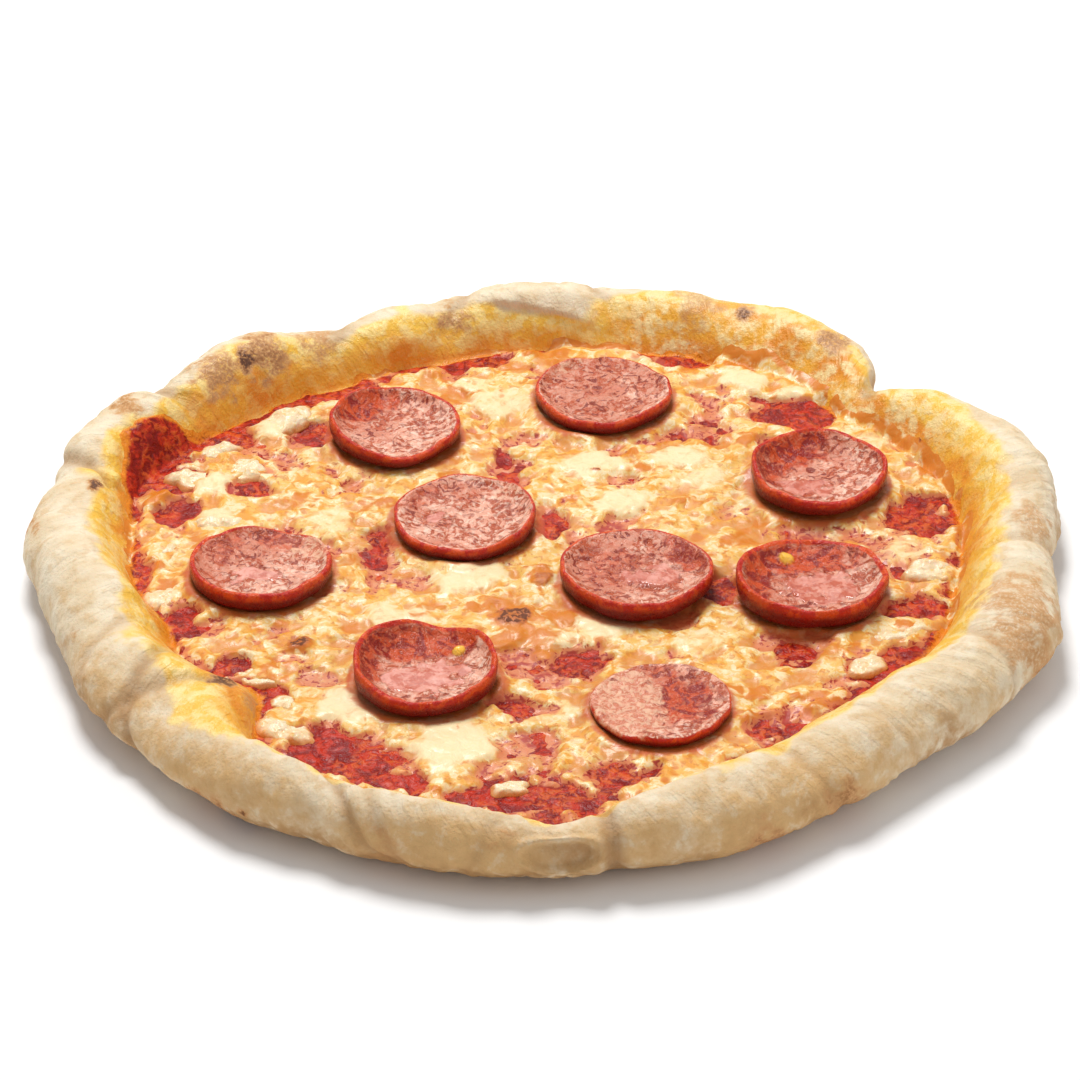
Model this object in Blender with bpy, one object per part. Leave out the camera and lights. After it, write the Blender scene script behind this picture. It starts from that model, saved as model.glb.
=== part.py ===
"""A whole round pepperoni pizza, modelled as separate closed solids.

The dough is one piece: a thin floor with a puffed, uneven rim. On it lie a layer of tomato sauce, a melted
sheet of cheese with windows where the sauce shows, loose lumps of mozzarella, and nine cupped slices of
pepperoni. Sizes are in millimetres here and become metres where a mesh is made. The origin is the middle of
the flat underside. Angles are in degrees, counter-clockwise from +X as seen from above.
"""

import math
from collections import namedtuple

import bmesh
import bpy
import numpy as np
from mathutils import Vector

MM = 0.001
GAP = 0.3                 # clearance between two pieces that touch
MERGE = 0.00002           # metres, for joining the vertices of a seam

# Dough
STEPS = 108               # angular steps of the dough and of the layers on it
FLOOR = 5.5               # height of the dough under the sauce
FOOT_INSET = 11.0         # how far the contact edge lies inside the widest line of the rim
WIDEST = 0.44             # height of the widest line, as a share of the crest's height
CREST_SHARE = 0.52        # place of the crest across the rim, from its inner foot
INNER_FULLNESS = 1.8      # power of the rim's inner slope: 1 is straight, more is rounder
ROUNDING = 2.6            # degrees, softening of the runs between two stations

# The rim, station by station: angle, widest radius, crest height and width of the rim
Station = namedtuple("Station", "angle radius height width")
RIM = [
    Station(0, 150.0, 22.0, 28.0),
    Station(10, 156.0, 23.0, 30.0),
    Station(22, 158.0, 22.0, 32.0),
    Station(32, 149.0, 20.0, 25.0),
    Station(40, 138.0, 16.0, 18.0),
    Station(48, 151.0, 19.0, 26.0),
    Station(60, 154.0, 20.0, 28.0),
    Station(74, 149.0, 19.0, 26.0),
    Station(86, 146.0, 21.0, 24.0),
    Station(96, 145.0, 21.0, 24.0),
    Station(108, 140.0, 20.0, 22.0),
    Station(120, 136.0, 17.0, 20.0),
    Station(130, 144.0, 22.0, 25.0),
    Station(140, 144.0, 23.0, 24.0),
    Station(146, 140.0, 19.0, 19.0),
    Station(152, 150.0, 22.0, 27.0),
    Station(161, 151.0, 22.0, 25.0),
    Station(172, 149.0, 21.0, 28.0),
    Station(180, 150.0, 23.0, 31.0),
    Station(188, 145.0, 24.0, 28.0),
    Station(197, 144.0, 24.0, 30.0),
    Station(210, 148.0, 24.0, 35.0),
    Station(220, 148.0, 22.0, 34.0),
    Station(229, 149.0, 23.0, 24.0),
    Station(240, 150.0, 23.0, 22.0),
    Station(252, 151.0, 23.0, 20.0),
    Station(263, 153.0, 22.0, 20.0),
    Station(272, 152.0, 18.0, 18.0),
    Station(281, 151.0, 22.0, 22.0),
    Station(293, 151.0, 24.0, 31.0),
    Station(308, 147.0, 24.0, 33.0),
    Station(320, 145.0, 23.0, 31.0),
    Station(330, 150.0, 24.0, 33.0),
    Station(342, 155.0, 24.0, 34.0),
    Station(351, 149.0, 22.0, 29.0),
]

# Pinches between the puffs of the rim: angle, spread in degrees, and the dips of the edge and of the crest
Pinch = namedtuple("Pinch", "angle spread inward down")
PINCHES = [
    Pinch(40, 4.0, 2.0, 1.5),
    Pinch(68, 4.0, 1.0, 1.5),
    Pinch(104, 4.0, 1.0, 2.0),
    Pinch(167, 3.5, 2.0, 2.5),
    Pinch(205, 4.0, 1.5, 1.5),
    Pinch(223, 4.0, 1.0, 2.0),
    Pinch(246, 3.5, 1.5, 2.0),
    Pinch(272, 3.5, 1.0, 1.5),
    Pinch(301, 4.0, 1.0, 1.5),
    Pinch(335, 4.0, 1.0, 1.5),
    Pinch(357, 4.0, 1.5, 2.0),
]

# Places on the dough's upper side are told by a share: 0 is the middle, 1 the rim's inner foot, 2 its crest
FLOOR_SHARES = [0.0, 0.5, 1.0]
SLOPE_SHARES = [1.33, 1.67, 2.0]

# Sauce
SAUCE_THICK = 1.0
SAUCE_EDGE_THICK = 0.4
SAUCE_REACH = [(0, 1.20), (60, 1.15), (100, 1.20), (125, 1.30), (150, 1.45), (180, 1.30), (230, 1.15), (300, 1.15)]

# Cheese
CHEESE_THICK = 2.0
CHEESE_EDGE_THICK = 0.8
CHEESE_RELIEF = 0.45
CHEESE_SHARES = [0.0, 0.32, 0.58, 0.80, 1.0, 1.33, 1.67]
CHEESE_LIFT_ON_SLOPE = 0.5
CHEESE_REACH = [(0, 1.30), (14, 1.60), (30, 1.50), (40, 1.60), (60, 1.60), (80, 1.50), (95, 1.40), (108, 1.02),
                (125, 0.97), (150, 0.98), (185, 0.96), (205, 0.95), (221, 1.02), (232, 0.93), (255, 0.92),
                (275, 0.93), (290, 0.97), (320, 0.98), (345, 1.00)]

# Windows in the cheese where the sauce shows: x, y, half length, half breadth and turn of the long axis
Patch = namedtuple("Patch", "x y long short turn")
SAUCE_WINDOWS = [
    Patch(-112, 44, 10, 7, -30),
    Patch(-96, 66, 13, 6, 38),
    Patch(-79, 83, 11, 6, 40),
    Patch(-60, 95, 11, 6, 28),
    Patch(-70, 70, 7, 8, 0),
    Patch(-86, 38, 6, 5, 0),
    Patch(-106, 24, 8, 6, 70),
    Patch(-102, -33, 6, 7, 0),
    Patch(-87, -55, 6, 5, 20),
    Patch(-75, -70, 6, 5, -30),
    Patch(-50, -98, 20, 10, -28),
    Patch(-3, -117, 18, 9, 0),
    Patch(21, -108, 9, 6, 10),
    Patch(-6, -75, 8, 6, 0),
    Patch(10, -52, 7, 6, 0),
    Patch(3, 18, 4, 11, 10),
    Patch(-10, 50, 5, 7, 0),
    Patch(52, -17, 5, 9, 0),
    Patch(48, 68, 8, 5, -20),
    Patch(79, 82, 13, 8, 12),
    Patch(69, 61, 4, 6, 0),
    Patch(44, 113, 11, 5, -14),
    Patch(-18, 112, 12, 6, 4),
    Patch(113, 22, 8, 11, 0),
    Patch(106, -26, 9, 5, 15),
    Patch(99, -54, 11, 5, 36),
    Patch(63, -84, 10, 5, 24),
    Patch(72, -50, 5, 6, 0),
    Patch(-46, 3, 4, 12, 8),
]
WINDOW_SIDES = 9
WINDOW_UNEVEN = 0.20      # share by which a window's radius varies

# Loose lumps of mozzarella: a patch and a height over the sauce
Lump = namedtuple("Lump", "x y long short turn height")
MOZZARELLA = [
    Lump(-97, 59, 6, 4, 25, 2.6),
    Lump(-78, 75, 10, 6, 48, 3.4),
    Lump(-104, 43, 8, 5, -10, 2.8),
    Lump(-88, 49, 7, 5, 15, 2.6),
    Lump(-94, 20, 9, 6, 8, 3.0),
    Lump(-107, 2, 4, 5, 0, 2.2),
    Lump(-108, -20, 5, 6, 10, 2.6),
    Lump(-78, -61, 6, 4, -20, 2.2),
    Lump(-70, -73, 5, 4, 0, 2.2),
    Lump(-70, -87, 8, 5, -30, 2.8),
    Lump(-8, -113, 6, 4, 5, 2.2),
    Lump(112, -8, 7, 6, 20, 3.4),
    Lump(102, -38, 9, 5, 18, 2.8),
    Lump(92, -55, 7, 4, 30, 2.6),
]
LUMP_SIDES = 10
LUMP_RINGS = [(1.0, 0.0), (0.98, 0.32), (0.80, 0.74), (0.45, 0.97)]   # share of radius, share of height
LUMP_UNEVEN = 0.12

# Pepperoni: place, radius, rise of the cupped wall, side of the highest wall, how one-sided it is, tilt
# towards that side's opposite, and a fold in the wall by its side and depth
Slice = namedtuple("Slice", "x y radius rise side lopsided tilt fold_side fold")
PEPPERONI = [
    Slice(-43.7, 64.9, 19.6, 3.6, 140, 0.45, 1.0, 100, 0.0),
    Slice(19.2, 85.2, 20.7, 2.2, 250, 0.30, 0.5, 0, 0.0),
    Slice(82.5, 37.8, 20.1, 4.4, 140, 0.30, 1.5, 215, 1.8),
    Slice(-22.0, 15.9, 21.4, 3.0, 330, 0.35, 0.5, 60, 0.8),
    Slice(-80.5, -10.8, 20.6, 3.4, 250, 0.35, 0.0, 70, 1.2),
    Slice(27.9, -15.5, 21.6, 3.2, 265, 0.45, 2.0, 10, 0.8),
    Slice(77.7, -20.2, 21.5, 4.8, 250, 0.25, 0.0, 5, 1.6),
    Slice(-31.8, -64.1, 20.6, 4.8, 120, 0.25, 0.5, 75, 2.2),
    Slice(33.2, -79.2, 19.2, 1.2, 320, 0.60, 0.5, 0, 0.0),
]
PEPPERONI_THICK = 2.2
PEPPERONI_STEPS = 24
PEPPERONI_RINGS = [0.0, 0.55, 0.82, 1.0]
WALL_POWER = 3.4          # how late the slice turns up into its wall
WALL_LEAN = 0.05          # share of the radius that a full wall leans in
OUTLINE_UNEVEN = 0.018

PALETTE = {
    "baked_dough": ((0.78, 0.62, 0.38), 0.75),
    "tomato_sauce": ((0.55, 0.06, 0.02), 0.35),
    "melted_cheese": ((0.90, 0.68, 0.32), 0.45),
    "mozzarella": ((0.93, 0.82, 0.58), 0.40),
    "pepperoni": ((0.58, 0.09, 0.05), 0.35),
}


def clear_scene():
    for leftover in list(bpy.data.objects):
        bpy.data.objects.remove(leftover, do_unlink=True)


def new_collection(name):
    collection = bpy.data.collections.new(name)
    bpy.context.scene.collection.children.link(collection)
    return collection


def material(name):
    colour, roughness = PALETTE[name]
    made = bpy.data.materials.new(name)
    made.use_nodes = True
    shader = made.node_tree.nodes["Principled BSDF"]
    shader.inputs["Base Color"].default_value = (*colour, 1.0)
    shader.inputs["Roughness"].default_value = roughness
    shader.inputs["Metallic"].default_value = 0.0
    return made


def closed_ring_values(angles, values):
    """The values at every degree, joined by straight runs and then softened round the ring."""
    degrees = np.arange(360)
    joined = np.interp(degrees, angles, values, period=360)
    offsets = np.arange(-12, 13)
    weights = np.exp(-0.5 * (offsets / ROUNDING) ** 2)
    weights /= weights.sum()
    return sum(weight * np.roll(joined, -offset) for weight, offset in zip(weights, offsets))


def ring_table(pairs):
    return closed_ring_values([pair[0] for pair in pairs], [pair[1] for pair in pairs])


def at_angle(table, angle):
    return float(np.interp(angle, np.arange(361), np.append(table, table[0])))


RIM_RADIUS = ring_table([(station.angle, station.radius) for station in RIM])
RIM_HEIGHT = ring_table([(station.angle, station.height) for station in RIM])
RIM_WIDTH = ring_table([(station.angle, station.width) for station in RIM])
SAUCE_END = ring_table(SAUCE_REACH)
CHEESE_END = ring_table(CHEESE_REACH)


def rim_at(angle):
    """Widest radius, inner foot radius, crest radius and crest height at an angle."""
    outer = at_angle(RIM_RADIUS, angle)
    width = at_angle(RIM_WIDTH, angle)
    height = at_angle(RIM_HEIGHT, angle)
    foot = outer - width
    for pinch in PINCHES:
        away = (angle - pinch.angle + 180.0) % 360.0 - 180.0
        strength = math.exp(-(away / pinch.spread) ** 2)
        outer -= strength * pinch.inward
        height -= strength * pinch.down
    return outer, foot, foot + CREST_SHARE * (outer - foot), height


def upper_profile(angle):
    """The dough's upper side from the middle to the crest, as (share, radius, height)."""
    outer, foot, crest, height = rim_at(angle)
    points = [(share, share * foot, FLOOR) for share in FLOOR_SHARES]
    for share in SLOPE_SHARES:
        up = share - 1.0
        rise = 1.0 - (1.0 - up) ** INNER_FULLNESS
        points.append((share, foot + up * (crest - foot), FLOOR + rise * (height - FLOOR)))
    return points


def outer_profile(angle):
    """The rim from just outside its crest down to the contact edge, as (radius, height)."""
    outer, _, crest, height = rim_at(angle)
    widest = WIDEST * height
    points = []
    for turn in (62, 35, 12):
        reach = math.cos(math.radians(turn)) ** 0.9
        points.append((crest + reach * (outer - crest), widest + math.sin(math.radians(turn)) * (height - widest)))
    points.append((outer, widest * 0.82))
    points.append((outer - 0.40 * FOOT_INSET, widest * 0.38))
    points.append((outer - FOOT_INSET, 0.0))
    return points


def corner_direction(before, here, after):
    """The direction that keeps a line at an even distance when one of its corners is lifted by 1."""
    first = Vector((here[0] - before[0], here[1] - before[1])).normalized()
    second = Vector((after[0] - here[0], after[1] - here[1])).normalized()
    left = Vector((-first.y, first.x))
    right = Vector((-second.y, second.x))
    return (left + right) / (1.0 + left.dot(right))


def lifted(angle, share, lift):
    """A point over the dough at an angle and a share of the way out, lifted square to the surface."""
    profile = upper_profile(angle)
    line = [(radius, height) for _, radius, height in profile]
    raised = []
    for index, here in enumerate(line):
        before = line[index - 1] if index > 0 else (here[0] - 1.0, here[1])
        after = line[index + 1] if index < len(line) - 1 else (here[0] + 1.0, here[1])
        direction = corner_direction(before, here, after)
        raised.append((here[0] + lift * direction.x * (index > 0), here[1] + lift * direction.y))
    shares = [point[0] for point in profile]
    radius = np.interp(share, shares, [point[0] for point in raised])
    height = np.interp(share, shares, [point[1] for point in raised])
    return float(radius), float(height)


def at_polar(angle, radius, height):
    turned = math.radians(angle)
    return Vector((radius * math.cos(turned), radius * math.sin(turned), height)) * MM


def mesh_object(name, mesh_builder, slot, collection, sharp=55.0):
    """An object whose mesh is what the builder leaves closed in a new bmesh."""
    sheet = bmesh.new()
    mesh_builder(sheet)
    bmesh.ops.remove_doubles(sheet, verts=sheet.verts, dist=MERGE)
    bmesh.ops.dissolve_degenerate(sheet, edges=sheet.edges, dist=MERGE)
    bmesh.ops.triangulate(sheet, faces=sheet.faces)
    bmesh.ops.recalc_face_normals(sheet, faces=sheet.faces)
    mesh = bpy.data.meshes.new(name)
    sheet.to_mesh(mesh)
    sheet.free()
    mesh.shade_smooth()
    mesh.set_sharp_from_angle(angle=math.radians(sharp))
    made = bpy.data.objects.new(name, mesh)
    made.data.materials.append(slot)
    collection.objects.link(made)
    return made


def bridge(sheet, inner, outer):
    """Faces between two rings of as many vertices each, of which the inner may be a single vertex."""
    count = len(outer)
    for index in range(count):
        following = (index + 1) % count
        if len(inner) == 1:
            sheet.faces.new((inner[0], outer[index], outer[following]))
        else:
            sheet.faces.new((inner[index], outer[index], outer[following], inner[following]))


def bridge_all(sheet, rings):
    for inner, outer in zip(rings, rings[1:]):
        bridge(sheet, inner, outer)


def step_angles(steps):
    return [360.0 * index / steps for index in range(steps)]


def build_dough(sheet):
    angles = step_angles(STEPS)
    uppers = [upper_profile(angle) for angle in angles]
    outers = [outer_profile(angle) for angle in angles]
    rings = [[sheet.verts.new(at_polar(0.0, 0.0, FLOOR))]]
    for level in range(1, len(uppers[0])):
        ring = [at_polar(angle, *upper[level][1:]) for angle, upper in zip(angles, uppers)]
        rings.append([sheet.verts.new(place) for place in ring])
    for level in range(len(outers[0])):
        ring = [at_polar(angle, *outer[level]) for angle, outer in zip(angles, outers)]
        rings.append([sheet.verts.new(place) for place in ring])
    bridge_all(sheet, rings)
    bridge(sheet, [sheet.verts.new((0.0, 0.0, 0.0))], list(reversed(rings[-1])))


def layer_ring(sheet, share, end_table, lift):
    """One ring of a layer on the dough, stopped at the layer's own end at each angle."""
    places = []
    for angle in step_angles(STEPS):
        stopped = min(share, at_angle(end_table, angle))
        places.append(at_polar(angle, *lifted(angle, stopped, lift(angle, stopped))))
    return [sheet.verts.new(place) for place in places]


def layer(sheet, shares_above, shares_below, end_table, lift_above, lift_below):
    """A closed layer that follows the dough between two lifts over it."""
    above = [[sheet.verts.new(at_polar(0.0, 0.0, FLOOR + lift_above(0.0, 0.0)))]]
    above += [layer_ring(sheet, share, end_table, lift_above) for share in shares_above]
    below = [[sheet.verts.new(at_polar(0.0, 0.0, FLOOR + lift_below(0.0, 0.0)))]]
    below += [layer_ring(sheet, share, end_table, lift_below) for share in shares_below]
    bridge_all(sheet, above)
    bridge_all(sheet, below)
    bridge(sheet, above[-1], below[-1])


def build_sauce(sheet):
    def below(_angle, _share):
        return GAP

    def above(angle, share):
        end = at_angle(SAUCE_END, angle)
        edge = min(1.0, max(0.0, (share - 1.0) / (end - 1.0)))
        return GAP + SAUCE_THICK + edge * (SAUCE_EDGE_THICK - SAUCE_THICK)

    shares = [1.0, 1.33, 2.0]
    layer(sheet, shares, shares, SAUCE_END, above, below)


def relief(x, y):
    """The cheese's gentle lumps, flat under every slice of pepperoni."""
    waves = math.sin(x / 7.1 + 1.3 * math.sin(y / 11.0)) + math.sin(y / 6.3 + 1.1 * math.sin(x / 9.0) + 0.7)
    calm = 1.0
    for piece in PEPPERONI:
        away = math.hypot(x - piece.x, y - piece.y) - piece.radius
        calm = min(calm, max(0.0, (away - 1.0) / 6.0))
    return 0.5 * CHEESE_RELIEF * waves * calm


def build_cheese(sheet):
    on_floor = GAP + SAUCE_THICK + GAP

    def below(_angle, share):
        down = min(1.0, max(0.0, (share - 1.0) / (SLOPE_SHARES[0] - 1.0)))
        return on_floor + down * (CHEESE_LIFT_ON_SLOPE - on_floor)

    def above(angle, share):
        end = at_angle(CHEESE_END, angle)
        edge = min(1.0, max(0.0, 1.0 - (end - share) / 0.08))
        thick = CHEESE_THICK + edge * (CHEESE_EDGE_THICK - CHEESE_THICK)
        place = at_polar(angle, lifted(angle, share, 0.0)[0], 0.0) / MM
        return below(angle, share) + thick + (1.0 - edge) * relief(place.x, place.y)

    layer(sheet, CHEESE_SHARES[1:], [1.0, 1.33, 1.67], CHEESE_END, above, below)


def uneven_outline(patch, sides, uneven, seed, grow=0.0):
    """The corners of a lumpy ellipse, in millimetres."""
    draw = np.random.default_rng(seed)
    phases = draw.uniform(0.0, 2.0 * math.pi, 2)
    turn = math.radians(patch.turn)
    corners = []
    for index in range(sides):
        around = 2.0 * math.pi * index / sides
        swell = 1.0 + uneven * (0.6 * math.sin(2.0 * around + phases[0]) + 0.4 * math.sin(3.0 * around + phases[1]))
        along = (patch.long * swell + grow) * math.cos(around)
        across = (patch.short * swell + grow) * math.sin(around)
        corners.append((along * math.cos(turn) - across * math.sin(turn),
                        along * math.sin(turn) + across * math.cos(turn)))
    return corners


def prism(name, patch, sides, uneven, seed, grow, slot, collection):
    """An upright cutter over a lumpy ellipse, from the sauce's top to well over the cheese."""
    low = FLOOR + GAP + SAUCE_THICK + 0.5 * GAP
    high = low + 8.0

    def builder(sheet):
        rings = []
        for height in (low, high):
            rings.append([sheet.verts.new(Vector((patch.x + across, patch.y + along, height)) * MM)
                          for across, along in uneven_outline(patch, sides, uneven, seed, grow)])
        bridge_all(sheet, rings)
        sheet.faces.new(list(reversed(rings[0])))
        sheet.faces.new(rings[1])

    cutter = mesh_object(name, builder, slot, collection)
    cutter.hide_render = True
    cutter.display_type = "WIRE"
    return cutter


def keep_largest_body(mesh):
    """Drop the scraps that the windows cut loose at the cheese's edge."""
    sheet = bmesh.new()
    sheet.from_mesh(mesh)
    waiting = set(sheet.verts)
    bodies = []
    while waiting:
        body = set()
        edge_of_body = [waiting.pop()]
        while edge_of_body:
            corner = edge_of_body.pop()
            body.add(corner)
            for edge in corner.link_edges:
                neighbour = edge.other_vert(corner)
                if neighbour in waiting:
                    waiting.remove(neighbour)
                    edge_of_body.append(neighbour)
        bodies.append(body)
    largest = max(bodies, key=len)
    bmesh.ops.delete(sheet, geom=[corner for corner in sheet.verts if corner not in largest], context="VERTS")
    sheet.to_mesh(mesh)
    sheet.free()


def cut_windows(cheese, slot, cutters):
    """Cut the sauce's windows and the room for each loose lump out of the cheese, and apply the cut."""
    for index, patch in enumerate(SAUCE_WINDOWS):
        prism(f"window_{index + 1}", patch, WINDOW_SIDES, WINDOW_UNEVEN, 100 + index, 0.0, slot, cutters)
    for index, lump in enumerate(MOZZARELLA):
        prism(f"room_{index + 1}", lump, LUMP_SIDES, LUMP_UNEVEN, 300 + index, 0.5, slot, cutters)
    cut = cheese.modifiers.new("windows", "BOOLEAN")
    cut.operation = "DIFFERENCE"
    cut.operand_type = "COLLECTION"
    cut.collection = cutters
    cut.solver = "EXACT"
    evaluated = cheese.evaluated_get(bpy.context.evaluated_depsgraph_get())
    opened = bpy.data.meshes.new_from_object(evaluated)
    cheese.modifiers.clear()
    cheese.data = opened
    keep_largest_body(opened)


def build_lump(lump, seed):
    """A squashed dome of mozzarella that stands on the sauce."""
    base = FLOOR + GAP + SAUCE_THICK + GAP

    def builder(sheet):
        outline = uneven_outline(lump, LUMP_SIDES, LUMP_UNEVEN, seed)
        rings = []
        for reach, up in LUMP_RINGS:
            rings.append([sheet.verts.new(Vector((lump.x + reach * across, lump.y + reach * along,
                                                  base + up * lump.height)) * MM) for across, along in outline])
        bridge_all(sheet, rings)
        sheet.faces.new(list(reversed(rings[0])))
        top = sheet.verts.new(Vector((lump.x, lump.y, base + lump.height)) * MM)
        bridge(sheet, [top], list(reversed(rings[-1])))

    return builder


def slice_height(piece, reach, around):
    """The height of a slice's lower side at a share of its radius and an angle round it."""
    towards = math.cos(around - math.radians(piece.side))
    wall = piece.rise * (1.0 + piece.lopsided * towards)
    away = (around - math.radians(piece.fold_side) + math.pi) % (2.0 * math.pi) - math.pi
    wall -= piece.fold * math.exp(-(away / 0.35) ** 2)
    return max(0.0, wall) * reach ** WALL_POWER - piece.tilt * 0.5 * reach * towards


def build_slice(piece, seed):
    """A cupped disc of even thickness, with its lowest point just clear of the cheese."""
    rest = FLOOR + GAP + SAUCE_THICK + GAP + CHEESE_THICK + GAP
    draw = np.random.default_rng(seed)
    phases = draw.uniform(0.0, 2.0 * math.pi, 2)
    angles = [math.radians(angle) for angle in step_angles(PEPPERONI_STEPS)]
    lowest = min(slice_height(piece, reach, around) for reach in PEPPERONI_RINGS for around in angles)

    def place(reach, around, up):
        swell = 1.0 + OUTLINE_UNEVEN * (math.sin(2.0 * around + phases[0]) + math.sin(3.0 * around + phases[1]))
        radius = piece.radius * swell * reach * (1.0 - WALL_LEAN * up)
        height = rest - lowest + slice_height(piece, reach, around) + up * PEPPERONI_THICK
        return Vector((piece.x + radius * math.cos(around), piece.y + radius * math.sin(around), height)) * MM

    def builder(sheet):
        sides = []
        for up in (1, 0):
            rings = [[sheet.verts.new(place(0.0, 0.0, up))]]
            for reach in PEPPERONI_RINGS[1:]:
                rings.append([sheet.verts.new(place(reach, around, up)) for around in angles])
            bridge_all(sheet, rings)
            sides.append(rings)
        bridge(sheet, sides[0][-1], sides[1][-1])

    return builder


def main():
    clear_scene()
    pizza = new_collection("pepperoni_pizza")
    cutters = new_collection("cutters")
    slots = {name: material(name) for name in PALETTE}
    mesh_object("crust", build_dough, slots["baked_dough"], pizza)
    mesh_object("sauce", build_sauce, slots["tomato_sauce"], pizza)
    cheese = mesh_object("cheese", build_cheese, slots["melted_cheese"], pizza)
    cut_windows(cheese, slots["melted_cheese"], cutters)
    for index, lump in enumerate(MOZZARELLA):
        mesh_object(f"mozzarella_{index + 1}", build_lump(lump, 300 + index), slots["mozzarella"], pizza)
    for index, piece in enumerate(PEPPERONI):
        mesh_object(f"pepperoni_{index + 1}", build_slice(piece, 500 + index), slots["pepperoni"], pizza, 70.0)


main()
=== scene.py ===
"""The looks of a whole round pepperoni pizza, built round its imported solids.

Shapes are worked out in millimetres and become metres where a mesh is made. Angles are in degrees,
counter-clockwise from +X as seen from above. The camera looks along +Y.
"""

import math
from collections import namedtuple

import bpy
import numpy as np
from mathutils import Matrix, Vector
from mathutils.bvhtree import BVHTree


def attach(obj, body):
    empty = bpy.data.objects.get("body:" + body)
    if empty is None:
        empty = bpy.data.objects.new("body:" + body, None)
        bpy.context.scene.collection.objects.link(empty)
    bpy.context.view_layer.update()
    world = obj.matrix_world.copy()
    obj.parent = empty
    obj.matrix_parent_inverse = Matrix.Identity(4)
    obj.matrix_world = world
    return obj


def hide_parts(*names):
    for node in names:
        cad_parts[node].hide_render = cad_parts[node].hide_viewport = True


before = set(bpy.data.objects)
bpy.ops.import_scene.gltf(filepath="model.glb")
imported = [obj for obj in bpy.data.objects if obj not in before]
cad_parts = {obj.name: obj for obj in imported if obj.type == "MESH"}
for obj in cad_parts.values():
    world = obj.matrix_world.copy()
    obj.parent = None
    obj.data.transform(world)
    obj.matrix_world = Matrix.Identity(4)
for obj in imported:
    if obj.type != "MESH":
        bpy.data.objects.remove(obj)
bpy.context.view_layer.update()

MM = 0.001

# Camera, from the photograph's perspective
PHOTO_SIDE = 1080
FOCAL_PIXELS = 4802.0
SENSOR = 36.0
ELEVATION = math.radians(33.0)
DISTANCE = 1400.0
AIM_UP = 12.0
ACROSS = FOCAL_PIXELS / DISTANCE

# Dough: the same sizes as the solid
FLOOR = 5.5
FOOT_INSET = 11.0
WIDEST = 0.44
CREST_SHARE = 0.52
INNER_FULLNESS = 1.8
ROUNDING = 2.2

Station = namedtuple("Station", "angle radius height width")
Patch = namedtuple("Patch", "x y long short turn strength", defaults=(0, 1.0))
RIM = [Station(*row) for row in [
    (0, 150, 22, 28), (10, 156, 23, 30), (22, 158, 22, 32), (32, 149, 20, 25), (40, 138, 16, 18),
    (48, 151, 19, 26), (60, 154, 20, 28), (74, 149, 19, 26), (86, 146, 21, 24), (96, 145, 21, 24),
    (108, 140, 20, 22), (120, 136, 17, 20), (130, 144, 22, 25), (140, 144, 23, 24), (146, 140, 19, 19),
    (152, 150, 22, 27), (161, 151, 22, 25), (172, 149, 21, 28), (180, 150, 23, 31), (188, 145, 24, 28),
    (197, 144, 24, 30), (210, 148, 24, 35), (220, 148, 22, 34), (229, 149, 23, 24), (240, 150, 23, 22),
    (252, 151, 23, 20), (263, 153, 22, 20), (272, 152, 18, 18), (281, 151, 22, 22), (293, 151, 24, 31),
    (308, 147, 24, 33), (320, 145, 23, 31), (330, 150, 24, 33), (342, 155, 24, 34), (351, 149, 22, 29),
]]

Pinch = namedtuple("Pinch", "angle spread inward down")
PINCHES = [Pinch(*row) for row in [
    (40, 4.0, 2.0, 1.5), (68, 4.0, 1.0, 1.5), (104, 4.0, 1.0, 2.0), (167, 3.5, 2.0, 2.5),
    (205, 4.0, 1.5, 1.5), (223, 4.0, 1.0, 2.0), (246, 3.5, 1.5, 2.0), (272, 3.5, 1.0, 1.5),
    (301, 4.0, 1.0, 1.5), (335, 4.0, 1.0, 1.5), (357, 4.0, 1.5, 2.0),
]]

# Lobes of dough that reach inwards over the toppings
Lobe = namedtuple("Lobe", "angle spread inward")
LOBES = [Lobe(*row) for row in [
    (222, 7.5, 12.5), (197, 5.0, 3.0),
]]

# Fine creases that run over the rim: angle at the crest, spread, depth, and lean towards the outer edge
Crease = namedtuple("Crease", "angle spread depth lean")
CREASES = [Crease(*row) for row in [
    (40, 1.6, 1.6, 2.0), (119, 1.6, 1.2, -3.0), (147, 1.3, 1.4, 2.0), (166, 1.2, 1.6, -4.0),
    (205, 1.0, 0.7, 5.0), (214, 1.0, 1.6, 6.0), (219, 1.1, 1.3, -4.0), (247, 0.9, 1.4, 5.0),
    (251, 0.7, 0.7, 4.0), (266, 0.8, 0.7, -3.0), (277, 0.9, 2.2, 0.6), (300, 0.8, 0.7, 3.0),
    (312, 0.6, 0.4, 3.0), (334, 0.8, 0.8, -3.0), (356, 0.9, 0.8, 3.0), (8, 0.8, 0.6, 3.0),
    (82, 1.2, 1.0, 4.0), (101, 1.2, 1.2, -4.0),
]]

# Soft swellings of the dough, by pixel of the photograph, height, half size and how far they stand out
Swelling = namedtuple("Swelling", "px py height size out")
SWELLINGS = [Swelling(*row) for row in [
    (236, 706, 13, 8, 1.6), (190, 720, 18, 9, 1.2), (134, 398, 20, 9, 1.6), (262, 355, 20, 14, 1.6),
    (392, 322, 20, 13, 1.2), (545, 316, 16, 12, 0.8), (700, 312, 16, 12, 1.4), (800, 335, 16, 10, 1.2),
    (1010, 450, 20, 12, 1.4), (1000, 545, 20, 13, 1.2), (1010, 620, 18, 11, 1.2), (960, 700, 10, 13, 1.0),
    (110, 490, 18, 8, 1.4), (95, 600, 18, 14, 1.0), (330, 800, 12, 12, 1.0), (455, 820, 12, 12, 1.2),
    (690, 800, 14, 16, 1.0),
]]

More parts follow.
